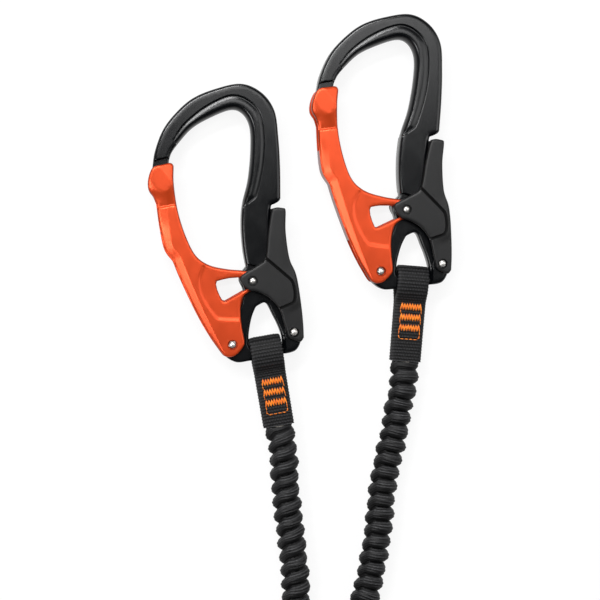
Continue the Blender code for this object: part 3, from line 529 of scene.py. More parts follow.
def steel_look():
    look = Look("bright_steel", (0.72, 0.71, 0.69), 0.35, 0.85)
    look.roughness(look.blotches(400, 2, 0.32, 0.40))
    tarnish = look.span(look.noise(250, 2), 0.5, 0.8)
    look.colour(look.mix(tarnish, (0.72, 0.70, 0.67), (0.60, 0.58, 0.55)))
    return look.made


def webbing_look():
    """Black webbing, paler on its crests from wear and from a painted highlight. The map gives
    metres across it and along it.
    """
    look = Look("woven_webbing", (0.005, 0.005, 0.0055), 0.6, 0, Specular_IOR_Level=0.25)
    at = look.weave()
    rows = look.wave(at, 216.7, "Y")
    # painted highlight on the crests of the weave and of its rows, darker between the rows, mixed
    # with patchy wear
    wear_and_painted_light = look.product(look.span(look.crest(), 0.49, 0.56), look.blotches(900, 4, 0.55, 1.0),
                        look.span(rows, 0.15, 0.7, 1, 0.05))
    look.colour(look.mix(wear_and_painted_light, (0.0004, 0.0004, 0.0006), (0.040, 0.040, 0.043)))
    look.bump(look.noise(1.0, 3, 0.7, look.stretched(at, 2600, 9000)), 0.5, 0.00012)
    return look.made


def sleeve_look():
    """The gathered sleeve: fine lines of yarn that follow the rolls, and the map is turns round the
    arm and rolls along it."""
    look = Look("gathered_sleeve", (0.006, 0.006, 0.007), 0.58, 0, Specular_IOR_Level=0.25)
    at = look.weave()
    lines = look.wave(at, 1.8, "Y", 0.9)
    spot = look.add("ShaderNodeSeparateXYZ", {"Vector": at}).outputs
    share = look.math("FRACT", spot["Y"])
    around = look.math("COSINE", look.math("MULTIPLY", spot["X"], math.tau))
    # painted highlight on the crests, painted shade on the lower part of each roll and on the arm's
    # left side, mixed with patchy wear
    wear_and_painted_light = look.product(look.span(look.crest(), 0.49, 0.55), look.blotches(1100, 4, 0.4, 1.0),
                        look.span(lines, 0, 1, 0.15, 1.0), look.span(share, 0.30, 0.80, 1, 0.10),
                        look.span(around, 0.45, 0.95, 1, 0.2))
    look.colour(look.mix(wear_and_painted_light, (0.0004, 0.0004, 0.0006), (0.100, 0.100, 0.105)))
    look.bump(lines, 0.5, 0.00025)
    look.bump(look.noise(1.0, 2, 0.6, look.stretched(at, 60, 9)), 0.4, 0.0002)
    return look.made


def thread_look(name, bright, deep):
    look = Look(name, bright, 0.6, 0, Sheen_Weight=0.08)
    look.colour(look.mix(look.blotches(500, 2), bright, deep))
    look.bump(look.wave(look.place(), 900, "DIAGONAL"), 0.4, 0.00008)
    return look.made


def cloth_look(name, dark, light):
    """Pack cloth: a fine plain weave with a coated feel."""
    look = Look(name, dark, 0.75, 0, Sheen_Weight=0.12)
    at = look.place()
    weave = look.math("MAXIMUM", look.wave(at, 380, "X", 0.3), look.wave(at, 380, "Y", 0.3))
    look.colour(look.mix(look.blotches(160, 4), dark, light))
    look.roughness(look.span(weave, 0, 1, 0.85, 0.62))
    look.bump(weave, 0.5, 0.00015)
    look.bump(look.noise(45, 3), 0.5, 0.0008)
    return look.made


def rubber_look():
    look = Look("rubber_strands", (0.34, 0.31, 0.27), 0.6)
    look.colour(look.mix(look.noise(200, 3), (0.38, 0.35, 0.30), (0.27, 0.25, 0.22)))
    look.bump(look.noise(500, 3), 0.3, 0.0001)
    return look.made


def tooth_look():
    look = Look("zip_teeth", (0.03, 0.03, 0.032), 0.35)
    look.roughness(look.blotches(500, 2, 0.28, 0.45))
    look.bump(look.noise(900, 2), 0.2, 0.00005)
    return look.made


LOOKS = {
    "anodised": metal_look("black_anodised", (0.0014, 0.0018, 0.0024), (0.05, 0.052, 0.055),
                           0.24, 0.1, 0.000006, Specular_IOR_Level=0.42),
    # orange and dark grey: the last tuple paints shade on their upright walls
    "orange": metal_look("orange_anodised", (0.66, 0.064, 0.011), (1.0, 0.28, 0.09),
                         0.34, 0.55, 0.000008, (0.22, 0.35, 0.75)),
    "grey": metal_look("dark_grey", (0.0066, 0.0066, 0.0069), (0.07, 0.07, 0.07),
                       0.45, 0.0, 0.00004, (0.15, 0.5, 0.75), Specular_IOR_Level=0.35),
    "steel": steel_look(),
    "webbing": webbing_look(),
    "sleeve": sleeve_look(),
    "thread": thread_look("orange_thread", (0.92, 0.26, 0.006), (0.74, 0.14, 0.005)),
    "dark_thread": thread_look("grey_thread", (0.045, 0.045, 0.048), (0.025, 0.025, 0.027)),
    "cloth": cloth_look("pack_cloth", (0.007, 0.007, 0.008), (0.017, 0.017, 0.019)),
    "binding": cloth_look("edge_binding", (0.003, 0.003, 0.0035), (0.009, 0.009, 0.010)),
    "rubber": rubber_look(),
    "teeth": tooth_look(),
}


def piece(name, mesh, look, slot, nodes=(), body="root", matrix=None, angle=35):
    """A shown piece in the row frame, which rides on its body and stands for its nodes."""
    made = linked(name, mesh)
    mesh.shade_smooth()
    mesh.set_sharp_from_angle(angle=math.radians(angle))
    mesh.materials.clear()
    mesh.materials.append(LOOKS[look])
    if matrix:
        made.matrix_world = matrix
    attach(made, body)
    if nodes:
        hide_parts(*nodes)
    return made


# ---- camera and cords -------------------------------------------------------------------------

def build_camera():
    data = bpy.data.cameras.new("camera")
    data.sensor_width = SENSOR
    data.lens = SENSOR * CAMERA_DISTANCE / VIEW_SPAN
    made = linked("camera", data)
    back = Vector((-math.sin(CAMERA_YAW) * math.cos(CAMERA_PITCH), -math.sin(CAMERA_PITCH),
                   math.cos(CAMERA_YAW) * math.cos(CAMERA_PITCH)))
    right = Y.cross(back).normalized()
    turn = Matrix((right, back.cross(right), back)).transposed().to_4x4()
    made.matrix_world = Matrix.Translation(AIM + back * CAMERA_DISTANCE) @ turn
    data.clip_start, data.clip_end = 0.01, 20
    bpy.context.scene.camera = made


def swing_of(side):
    return side["turn"] + side["swing"]


def strap_matrix(side, shift=0.0):
    offset = Matrix.Rotation(side["turn"], 3, "Z") @ (X * (STRAP_CENTRE + shift))
    spot = Vector((*side["place"], MID_HEIGHT)) + offset + SHIFT
    return Matrix.Translation(spot) @ Matrix.Rotation(swing_of(side), 4, "Z")


def arm_route(name):
    """The arm's centre line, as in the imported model."""
    side = SIDES[name]
    down = Vector((math.sin(swing_of(side)), -math.cos(swing_of(side)), 0))
    reach = STRAP_LENGTH - STRAP_TOP - EARLY_SLEEVE[name] + RUNNING_GAP
    start = strap_matrix(side, STRAP_SHIFT[name]).translation + down * reach
    finish = Vector((side["end_x"], MOUTH.y - END_STRAP_OUTSIDE - RUNNING_GAP, ARM_HEIGHT)) + SHIFT
    straight = 2 * CREST_RADIUS
    points = [start, start + down * straight]
    points += [Vector((*point, ARM_HEIGHT)) + SHIFT for point in ROUTES[name]]
    points += [finish - Y * straight, finish]
    return smooth(points, 8)


def swept(shape, path, section, layer=None, mapped=None, caps=True):
    """Rings of points along a path, joined into a tube in the given working shape. section(index)
    gives each ring's points, and mapped(index, spot) their places on the texture map."""
    rings = [[shape.verts.new(point) for point in section(index)] for index in range(len(path))]
    faces = bridged(shape, rings)
    if layer:
        for number, face in enumerate(faces):
            index, spot = divmod(number, len(rings[0]))
            corners = ((index, spot), (index, spot + 1), (index + 1, spot + 1), (index + 1, spot))
            for loop, corner in zip(face.loops, corners):
                loop[layer].uv = mapped(*corner)
    if caps:
        shape.faces.new(rings[0])
        shape.faces.new(rings[-1])
    return rings


def frames_along(path, up):
    """A side and an up vector at each point of a path that stays roughly level."""
    result = []
    for index in range(len(path)):
        ahead = ahead_at(path, index).normalized()
        side = ahead.cross(up).normalized()
        result.append((side, side.cross(ahead).normalized()))
    return result


def turned(point, frame, radius, angle, flat=1.0):
    """The place at that angle round a point of a path, on a round or flattened section."""
    side, up = frame
    return point + side * (radius * math.cos(angle)) + up * (radius * math.sin(angle) * flat)


# How far the rolls have moved along each arm, in pitches, at some angles round it
GATHERS = {
    "left": [(0, 0.0), (18, 0.05), (62, 0.52), (100, 0.60), (180, 0.86), (270, 0.95), (360, 1.0)],
    "right": [(0, 0.0), (14, 0.04), (52, 0.50), (100, 0.50), (180, 0.46), (250, 0.30), (360, 0.0)],
}
SLEEVE_STEP = 0.00033
CORE_STEP = 0.003
SLEEVE_SIDES = 48
BORE_STRIDE = 8
ROLL_LEAN = 1.12
ROLL_DEPTH = 0.00245
PLEAT_HEIGHT = 0.00025
FLAT_END = (0.60, 0.011)
SHALLOW_END = (0.35, 0.007)


def from_end(end, share, reach, power=1.0):
    """The share that a sleeve keeps at its ends, rising to 1 at that reach from them."""
    return share + (1 - share) * min(end / reach, 1) ** power


def sleeve_mesh(name, path):
    """The gathered sleeve: fat rolls with fine pleats that wind round the arm, and its bore."""
    frames = frames_along(path, Z)
    lengths = lengths_along(path)
    total = lengths[-1]
    pitch = total / round(total / RIB_PITCH)
    angles = turns_of(SLEEVE_SIDES)
    places, shifts = zip(*GATHERS[name])
    turns = [float(np.interp(math.degrees(angle), places, shifts)) for angle in angles]
    turns.append(shifts[-1])

    def section(index):
        s = lengths[index]
        end = min(s, total - s)
        flat = from_end(end, *FLAT_END, 0.7)
        points = []
        for number, angle in enumerate(angles):
            phase = s / pitch + turns[number]
            roll = math.floor(phase)
            share = phase - roll
            wave = abs(math.sin(math.pi * share ** ROLL_LEAN))
            wobble = 0.06 * math.sin(roll * 3.7 + angle * 2)
            pleat = (1.6 * abs(math.cos(math.tau * 2.0 * (share + wobble))) - 1) * wave
            uneven = 0.00026 * math.sin(roll * 2.4 + angle * 2)
            uneven += 0.00018 * math.sin(roll * 5.1 + angle * 3 + 1)
            depth = ROLL_DEPTH + 0.00035 * math.sin(roll * 1.7 + angle)
            depth *= from_end(end, *SHALLOW_END)
            radius = CREST_RADIUS + 0.0001 + uneven * wave - depth * (1 - wave ** 0.55)
            radius += PLEAT_HEIGHT * pleat
            points.append(turned(path[index], frames[index], radius, angle, flat))
        return points

    shape = bmesh.new()
    layer = shape.loops.layers.uv.new("weave")

    def mapped(index, spot):
        return (spot / SLEEVE_SIDES, lengths[index] / pitch + turns[spot])

    outer = swept(shape, path, section, layer, mapped, caps=False)
    sparse = path[::BORE_STRIDE] + ([path[-1]] if (len(path) - 1) % BORE_STRIDE else [])
    inner_frames = frames_along(sparse, Z)

    def bore(index):
        return [turned(sparse[index], inner_frames[index], BORE_RADIUS, angle) for angle in angles]

    inner = swept(shape, sparse, bore, caps=False)
    bridged(shape, (outer[0], inner[0]))
    bridged(shape, (outer[-1], inner[-1]))
    return meshed(shape)


def core_mesh(path):
    """Rubber strands that wind round each other, as one lobed rope."""
    frames = frames_along(path, Z)

    def section(index):
        points = []
        for angle in turns_of(18):
            radius = CORE_RADIUS * (0.9 + 0.1 * math.cos(6 * angle + index * 0.5))
            points.append(turned(path[index], frames[index], radius, angle))
        return points

    shape = bmesh.new()
    swept(shape, path, section)
    return meshed(shape)


def build_arm(name):
    route = arm_route(name)
    skin = sleeve_mesh(name, spaced(route, SLEEVE_STEP))
    strands = core_mesh(spaced(route, CORE_STEP))
    sleeve = piece(name + "_arm_sleeve", skin, "sleeve", "webbing", [name + "_sleeve"], angle=80)
    core = piece(name + "_arm_core", strands, "rubber", "rubber", [name + "_core"], angle=80)
    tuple(route[0])
    run_length(route)
    [tuple(point) for point in spaced(route, 0.004)]


# ---- carabiner --------------------------------------------------------------------------------

NOSE = [(-0.404, 0.66), (-0.409, 0.635), (-0.418, 0.60), (-0.44, 0.565), (-0.475, 0.552),
        (-0.50, 0.56), (-0.515, 0.59), (-0.512, 0.63)]
HOOK_BACK = [(-0.512, 0.63), (-0.495, 0.689), (-0.445, 0.763), (-0.365, 0.823), (-0.255, 0.877),
             (-0.11, 0.912), (0.06, 0.932), (0.192, 0.902), (0.276, 0.838), (0.302, 0.74),
             (0.313, 0.635), (0.315, 0.525)]
NOTCH = [(0.315, 0.525), (0.305, 0.515), (0.275, 0.505), (0.255, 0.50), (0.25, 0.48)]
LEVER_BED = [(0.25, 0.48), (0.25, 0.41), (0.285, 0.325), (0.345, 0.215), (0.395, 0.12),
             (0.44, 0.085), (0.455, 0.045), (0.445, 0.005), (0.42, -0.02), (0.385, -0.03),
             (0.34, -0.035)]
TOE = [(0.115, -0.06), (0.03, -0.065), (-0.04, -0.045), (-0.08, -0.01), (-0.07, 0.03),
       (0.0, 0.085), (0.055, 0.14), (0.075, 0.185)]
LOBE = [(0.075, 0.185), (0.065, 0.205), (0.045, 0.23), (0.055, 0.255), (0.09, 0.28)]
SPINE_INSIDE = [(0.09, 0.28), (0.07, 0.345), (0.06, 0.425), (0.068, 0.505), (0.104, 0.59),
                (0.122, 0.69), (0.118, 0.777), (0.074, 0.826), (-0.003, 0.841), (-0.13, 0.8145),
                (-0.255, 0.774), (-0.350, 0.716), (-0.388, 0.686), (-0.404, 0.66)]
EYE = [(0.106, 0.0), (0.110, 0.045), (0.127, 0.095), (0.149, 0.1275), (0.161, 0.137),
       (0.203, 0.1495), (0.221, 0.147), (0.235, 0.138), (0.264, 0.1055), (0.294, 0.0725),
       (0.322, 0.032), (0.329, 0.0)]
RECESS = [(-0.38, 0.73), (-0.31, 0.785), (-0.195, 0.84), (-0.065, 0.88), (0.025, 0.89),
          (0.115, 0.87), (0.185, 0.825), (0.21, 0.74), (0.20, 0.64), (0.16, 0.54),
          (0.125, 0.515), (0.08, 0.495)]
NOSE_STEP = [(-0.70, 0.631), (-0.36, 0.677), (-0.36, 0.45), (-0.70, 0.45)]
HEEL_BOSS = [(0.43, 0.165), (0.345, 0.12), (0.345, -0.20)]
SWEEP_RADIUS = 0.038

GATE_INSIDE = [(-0.375, 0.637), (-0.375, 0.575), (-0.35, 0.48), (-0.30, 0.39), (-0.235, 0.32),
               (-0.145, 0.285), (-0.025, 0.27), (0.09, 0.265)]
GATE_ARM = [(0.09, 0.265), (0.16, 0.26), (0.19, 0.245), (0.195, 0.23), (0.165, 0.205), (0.11, 0.19)]
GATE_BELOW = [(0.11, 0.19), (0.07, 0.17), (0.055, 0.13), (0.06, 0.075), (0.08, 0.015)]
GATE_FOOT = [(0.08, 0.015), (0.075, -0.005), (0.03, -0.035), (-0.015, -0.045), (-0.055, -0.04),
             (-0.08, -0.025)]
GATE_SIDE = [(-0.08, -0.025), (-0.145, 0.027), (-0.21, 0.088), (-0.275, 0.16), (-0.34, 0.239),
             (-0.383, 0.298)]
GATE_OUTSIDE = [(-0.383, 0.298), (-0.438, 0.342), (-0.468, 0.42), (-0.488, 0.503)]
GATE_HEAD = [(-0.488, 0.503), (-0.508, 0.530), (-0.530, 0.546), (-0.540, 0.562), (-0.540, 0.584),
             (-0.530, 0.609), (-0.514, 0.628), (-0.488, 0.638), (-0.45, 0.6425), (-0.405, 0.6485),
             (-0.384, 0.646), (-0.375, 0.637)]
WINDOW = [(-0.10, 0.2285), (-0.06, 0.2345), (-0.02, 0.239), (0.03, 0.241), (0.09, 0.244),
          (0.135, 0.243), (0.152, 0.232), (0.145, 0.218), (0.095, 0.20), (-0.045, 0.156),
          (-0.064, 0.159), (-0.083, 0.178), (-0.099, 0.20), (-0.1055, 0.218)]
GATE_WEB_LINE = [(-0.375, 0.72), (-0.375, 0.575), (-0.35, 0.48), (-0.30, 0.39), (-0.235, 0.32),
                 (-0.165, 0.29)]
GATE_RIM_LINE = [(-0.228, 0.108), (-0.275, 0.16), (-0.34, 0.239), (-0.383, 0.298), (-0.436, 0.342),
                 (-0.458, 0.41)]
CHANNEL_FOOT = [(-0.12, 0.34), (0.30, 0.34), (0.30, -0.12), (-0.13, -0.12), (-0.28, 0.07)]
CHANNEL_HEAD = [(-0.60, 0.43), (-0.60, 0.72)]
GATE_CREASE = [(-1.8, -7.6), (-3.0, -5.1), (-12.0, 13.3), (-17.6, 26.0), (-22.6, 38.3),
               (-23.8, 41.1), (-27.1, 45.4), (-28.0, 50.5), (-29.2, 62.0), (-29.7, 72.0)]
GATE_PANEL = [(-13.3, 36.2), (-15.2, 30.5), (-14.6, 24.5), (-11.5, 18.0), (-7.6, 12.9),
              (-4.7, 11.9), (4.4, 11.5)]
HEAD_FACET = [(-34.9, 84.0), (-26.0, 72.9)]
HEAD_FOOT = [(-40.0, 61.7), (-20.0, 65.7)]

LEVER_BACK = [(0.33, 0.49), (0.345, 0.48), (0.345, 0.405), (0.37, 0.31), (0.415, 0.25),
              (0.445, 0.155), (0.46, 0.08), (0.465, 0.025)]
LEVER_FOOT = [(0.465, 0.025), (0.45, 0.012), (0.43, 0.01), (0.38, 0.02), (0.36, 0.03)]
LEVER_FRONT = [(0.36, 0.03), (0.335, 0.075), (0.30, 0.13), (0.235, 0.17), (0.16, 0.19),
               (0.105, 0.195)]
LEVER_NOSE = [(0.105, 0.195), (0.065, 0.2155), (0.048, 0.241), (0.08, 0.258), (0.145, 0.28),
              (0.196, 0.298)]
LEVER_NECK = [(0.196, 0.298), (0.218, 0.324), (0.229, 0.395), (0.245, 0.46), (0.255, 0.487)]
LEVER_TOP = [(0.255, 0.487), (0.29, 0.492), (0.33, 0.49)]
LEVER_WEB_LINE = [(0.345, 0.56), (0.345, 0.405), (0.37, 0.31), (0.415, 0.25), (0.442, 0.165)]
LEVER_OPEN = [(0.60, 0.165), (0.60, -0.12), (-0.12, -0.12), (-0.12, 0.56)]
LEVER_GROOVE = [(0.200, 0.320), (0.222, 0.308), (0.299, 0.272), (0.368, 0.239), (0.388, 0.225),
                (0.403, 0.195), (0.403, 0.166), (0.390, 0.1515), (0.345, 0.140), (0.292, 0.128)]

RECESS_FENCE = [(0.03, 0.48), (0.02, 0.52), (0.08, 0.72), (0.02, 0.79), (-0.12, 0.77),
                (-0.30, 0.68)]
PANEL_FENCE = [(0.20, 0.09), (0.30, 0.30), (-0.10, 0.33)]

HEAD_SEAT_RADIUS = 0.00215
HEAD_SEAT_DEPTH = 0.0010
PIN_HOLE = 0.0015
LOCK_PIN_RADIUS = 0.0010
LEVER_STROKE = math.radians(4.5)
SPRING_POCKET_RADIUS = 0.0038
SPRING_POCKET_FLOOR = -0.0012
SPRING_BORE_RADIUS = 0.0023
SPRING_SEAT = 0.25 * WIDTH - 0.0045
SPRING_LEVEL = 0.40 * LENGTH
SPRING_AXIS = Matrix(((0, 0, 1, 0), (1, 0, 0, SPRING_LEVEL), (0, 1, 0, 0), (0, 0, 0, 1)))

# Reach and slope of each part's chamfer, and the relief of its faces
GATE_FACE = GATE_OUTER + 0.0002
HOOK_CHAMFER = (0.0019, 0.30)
GATE_CHAMFER = (0.0012, 0.25)
LEVER_CHAMFER = (0.0013, 0.25)
RECESS_DEPTH = 0.0011
RECESS_CLIMB = 0.42
BEAD_RADIUS = 0.0027
STRIP_WIDTH = 0.0040
STRIP_FALL = 0.00165
PANEL_DEPTH = 0.00040
HEAD_RISE = 0.0017
HEAD_TILT = 0.2
GROOVE_DEPTH = 0.00095
GROOVE_WIDTH = 0.00075


def seat(points, centre):
    """A round seat for a rivet's head, with a small rounded lip."""
    away = np.hypot(points[:, 0] - centre[0], points[:, 1] - centre[1])
    return HEAD_SEAT_DEPTH * (1 - ease(away, HEAD_SEAT_RADIUS - 0.0001, HEAD_SEAT_RADIUS + 0.00012))


def seat_lines(centre):
    return [circle(centre, HEAD_SEAT_RADIUS + step) for step in (-0.0001, 0.00001, 0.00012, 0.0004)]


def pin_hole(centre, radius=PIN_HOLE + RUNNING_GAP):
    return circle(centre, radius, 24)


def both_sides(line, *offsets):
    """A run and its copies at those distances on either side."""
    return [line] + [beside(line, way * offset) for offset in offsets for way in (-1, 1)]


def into(points, ring, line=None):
    """How far each point lies inside the ring, measured from the line or the ring itself."""
    near, _ = distances(points, line or ring, closed=line is None)
    return np.where(inside(points, ring), near, -near)


def from_edge(points, ring):
    return distances(points, ring, closed=True)[0]


def frame_mesh():
    ring = ring_of(NOSE, HOOK_BACK, NOTCH, LEVER_BED, TOE, LOBE, SPINE_INSIDE)
    eye = spaced(smooth(placed(EYE), 8), 0.0006)
    eye += [Vector((0.01544 + 0.0077 * t, -0.0009 - 0.0018 * (1 - t * t)))
            for t in np.linspace(0.99, -0.99, 12)]
    arc = [Vector((SWEEP_RADIUS * math.cos(a), SWEEP_RADIUS * math.sin(a)))
           for a in np.linspace(math.radians(215), math.radians(38), 60)]
    lowered = (arc + placed(HEEL_BOSS), placed(NOSE_STEP))
    recess = smooth(placed(RECESS), 6)
    inner = smooth(placed(SPINE_INSIDE), 6)
    fence = recess + placed(RECESS_FENCE)

    def height(points):
        edge = from_edge(points, ring)
        depth = into(points, fence, recess)
        groove = ease(depth, -0.0001, 0.0003)
        groove = groove - RECESS_CLIMB * np.clip((depth - 0.00045) / 0.0016, 0, 1)
        tops = HOOK_HALF - RECESS_DEPTH * groove - chamfer(edge, *HOOK_CHAMFER)
        away, _ = distances(points, inner)
        tops = tops - rounding(np.maximum(away, 0.0001), BEAD_RADIUS) * ease(depth, 0.0004, 0.0020)
        tops = tops - rounding(edge, 0.0010)
        low = WAIST_HALF - rounding(edge, 0.0009)
        for region in lowered:
            share = ease(into(points, region), -0.00005, 0.00035)
            tops = tops + (np.minimum(low, tops) - tops) * share
        return np.maximum(tops - rounding(from_edge(points, eye), 0.0012), 0.0008)

    lines = both_sides(recess, 0.00025, 0.0005, 0.0008, 0.0011, 0.0014)
    for step in (arc, placed(NOSE_STEP[:2])):
        lines += both_sides(step, 0.0002, 0.0005)
    for way in (-1, 1):
        lines += [beside(inner, way * away) for away in (0.0012, 0.0017, 0.0022, 0.0027, 0.0032)]
    lines = [spaced(line, 0.00045) for line in lines]
    holes = [eye, pin_hole((0, 0)), pin_hole(LEVER_PIVOT), pin_slot()]
    pocket = prism(circle((0, 0), SPRING_POCKET_RADIUS), SPRING_POCKET_FLOOR, HOOK_HALF)
    bore = linked("bore", lathe([(SPRING_BORE_RADIUS, 0), (SPRING_BORE_RADIUS, 0.010)], 20))
    bore.matrix_world = SPRING_AXIS @ Matrix.Translation((0, 0, SPRING_SEAT))
    return carved(forged(ring, holes, height, lines, 0.0020), [pocket, bore])


def pin_slot():
    """The slot in which the lock pin swings about the lever's pivot."""
    pivot, pin = Vector(LEVER_PIVOT), Vector(LOCK_PIN)
    reach, rest = (pin - pivot).length, math.atan2(pin.y - pivot.y, pin.x - pivot.x)
    swung = rest + LEVER_STROKE
    end = pivot + reach * Vector((math.cos(swung), math.sin(swung)))
    half = LOCK_PIN_RADIUS + RUNNING_GAP
    ring = []
    for centre, start in ((pin, rest - math.pi), (end, swung)):
        for step in range(9):
            angle = start + math.pi * step / 8
            ring.append(centre + half * Vector((math.cos(angle), math.sin(angle))))
    return ring


def gate_mesh():
    ring = ring_of(GATE_INSIDE, GATE_ARM, GATE_BELOW, GATE_FOOT, GATE_SIDE, GATE_OUTSIDE, GATE_HEAD)
    crease = smooth(millimetres(GATE_CREASE), 8)
    panel = smooth(millimetres(GATE_PANEL), 8)
    facet = millimetres(HEAD_FACET)
    foot = millimetres(HEAD_FOOT)
    pocket = panel + placed(PANEL_FENCE)
    opening = placed(WINDOW)

    def height(points):
        edge = from_edge(points, ring)
        y = points[:, 1]
        away, side = distances(points, crease)
        fade = (1 - 0.6 * ease(y, 0.045, 0.060)) * (1 - ease(y, 0.066, 0.072))
        strip = np.where(side > 0, np.clip((away - 0.0001) / STRIP_WIDTH, 0, 1.3), 0)
        strip = strip * STRIP_FALL * fade
        sunk = PANEL_DEPTH * ease(into(points, pocket, panel), -0.0009, 0.0010)
        above, over = distances(points, foot)
        climb = np.where(over > 0, above, 0)
        slope = 0.0062 + 0.0050 * np.clip((points[:, 0] + 0.0310) / 0.0054, -1.2, 1.2) ** 2
        head = HEAD_RISE * np.clip((climb - 0.0003) / slope, 0, 1) + 0.00010 * climb / 0.0075
        dip = 0.0006 * ease(np.where(over > 0, above, -above), -0.0007, 0.0002)
        far, way = distances(points, facet)
        tilt = np.where((way > 0) & (y > 0.060), far, 0) * HEAD_TILT
        tops = GATE_FACE + head - dip - tilt - strip - sunk
        tops = tops - chamfer(edge, *GATE_CHAMFER) - seat(points, (0, 0))
        tops = tops - 0.6 * rounding(from_edge(points, opening), 0.0010)
        return np.maximum(tops - rounding(edge, 0.0009), GATE_INNER + 0.0004)

    window = opening + opening[:1]
    lines = both_sides(crease, 0.00025, 0.0006) + both_sides(panel, 0.00025, 0.0006, 0.001)
    lines += both_sides(foot, 0.0003, 0.0007)
    lines += [facet, beside(window, -0.0005), beside(window, -0.0010)]
    lines = [spaced(line, 0.0005) for line in lines] + seat_lines((0, 0))
    blank = forged(ring, [opening, pin_hole((0, 0))], height, lines, 0.0012)
    web = beside(smooth(placed(GATE_WEB_LINE), 4), WEB)
    rim = beside(smooth(placed(GATE_RIM_LINE), 4), WEB)
    channel = web + placed(CHANNEL_FOOT) + rim + placed(CHANNEL_HEAD)
    return carved(blank, [prism(channel, -GATE_INNER, GATE_INNER)])


def lever_mesh():
    ring = ring_of(LEVER_BACK, LEVER_FOOT, LEVER_FRONT, LEVER_NOSE, LEVER_NECK, LEVER_TOP)
    groove = smooth(placed(LEVER_GROOVE), 6)

    def height(points):
        edge = from_edge(points, ring)
        away, side = distances(points, groove)
        cut = GROOVE_DEPTH * (1 - np.clip(away / GROOVE_WIDTH, 0, 1))
        fall = 0.0016 * ease(points[:, 0], 0.0215, 0.034) * np.where(side > 0, 1, 0.0)
        fall = fall * ease(away, 0, 0.004)
        tops = LEVER_OUTER - cut - 0.6 * fall - seat(points, LEVER_PIVOT) - seat(points, LOCK_PIN)
        return tops - chamfer(edge, *LEVER_CHAMFER) - rounding(edge, 0.0008)

    lines = [spaced(line, 0.0006) for line in both_sides(groove, 0.0004, GROOVE_WIDTH, 0.0011)]
    lines += seat_lines(LEVER_PIVOT) + seat_lines(LOCK_PIN)
    holes = [pin_hole(LEVER_PIVOT), pin_hole(LOCK_PIN, PIN_HOLE)]
    blank = forged(ring, holes, height, lines, 0.0013)
    web = beside(smooth(placed(LEVER_WEB_LINE), 4), WEB)
    return carved(blank, [prism(web + placed(LEVER_OPEN), -LEVER_INNER, LEVER_INNER)])


def lathe(profile, sides):
    """A solid of revolution about Z, from points of radius and height, low to high."""
    shape = bmesh.new()
    rings = [[shape.verts.new((*spot, height)) for spot in circle((0, 0), radius, sides)]
             for radius, height in profile]
    bridged(shape, rings)
    shape.faces.new(rings[0])
    shape.faces.new(rings[-1])
    return meshed(shape)


def rivet_mesh(shank, outer):
    """A rivet whose domed heads stand just proud of their seats."""
    floor = outer - HEAD_SEAT_DEPTH + 0.00005
    half = [(shank, floor), (0.00138, floor)]
    for step in range(9):
        angle = math.pi / 2 * step / 8.3
        half.append((0.00140 * math.cos(angle), floor + 0.00024 + 0.00074 * math.sin(angle)))
    return lathe([(radius, -height) for radius, height in reversed(half)] + half, 36)


def coil_mesh(radius, wire, start, end, turns):
    shape = bmesh.new()
    count = int(turns * 20)
    path = []
    for step in range(count + 1):
        angle = math.tau * turns * step / count
        rise = start + (end - start) * step / count
        path.append(Vector((radius * math.cos(angle), radius * math.sin(angle), rise)))

    def section(index):
        out = Vector((*path[index].xy, 0)).normalized()
        up = ahead_at(path, index).normalized().cross(out).normalized()
        return [turned(path[index], (out, up), wire, angle) for angle in turns_of(10)]

    swept(shape, path, section)
    return meshed(shape)


def build_carabiner(name, meshes):
    side = SIDES[name]
    spot = Vector((*side["place"], MID_HEIGHT)) + SHIFT
    matrix = Matrix.Translation(spot) @ Matrix.Rotation(side["turn"], 4, "Z")
    at_lever = matrix @ Matrix.Translation((*LEVER_PIVOT, 0))
    at_pin = matrix @ Matrix.Translation((*LOCK_PIN, 0))
    gate, lever = name + "_gate", name + "_lever"

    def shown(node, look, ending, body="root", at=matrix, angle=35):
        made = meshes[node]
        return piece(f"{name}_{ending}", made, look, look, [f"{name}_{node}"], body, at, angle)

    shown("frame", "anodised", "forged_frame")
    shown("gate", "orange", "gate_shell", gate)
    shown("lever", "grey", "lever_shell", lever)
    shown("gate_rivet", "steel", "gate_rivet_steel")
    shown("lever_rivet", "steel", "lever_rivet_steel", at=at_lever)
    shown("lock_pin", "steel", "lock_pin_steel", lever, at_pin)
    shown("gate_spring", "steel", "gate_spring_coil", angle=60)
    coil = shown("lever_spring", "steel", "lever_spring_coil", angle=60)
    # the lever presses this spring against its seat in the spine
    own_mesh(coil)


# ---- webbing and stitches ---------------------------------------------------------------------

ROW_PITCH = 0.00145
YARN_PITCH = 0.00130
RELIEF = 0.00042
RELIEF_SUNK = 0.00028
SELVEDGE = 0.0012
BAND_STEP = 0.00034
BAND_CORNER = 5
TACK_STEPS = 16
TACK_RADIUS = 0.00031
STITCH_STEP = 0.0001
SEAM = {"stitch": 0.0022, "gap": 0.0009, "radius": 0.00022}


def weave_height(along, across, half_width):
    """Relief of the webbing: rows of slanted yarns, each row shifted by half a yarn."""
    row = along / ROW_PITCH
    number = math.floor(row + 0.5)
    part = row - number
    slant = across / YARN_PITCH + 0.5 * (number % 2) + (0.5 if number % 2 else -0.5) * part
    ridge = abs(math.cos(math.pi * row)) ** 0.7
    yarn = abs(math.cos(math.pi * slant)) ** 0.8
    border = min(max((half_width - abs(across)) / SELVEDGE, 0), 1)
    return RELIEF * ridge * (0.40 + 0.60 * yarn * border) - RELIEF_SUNK


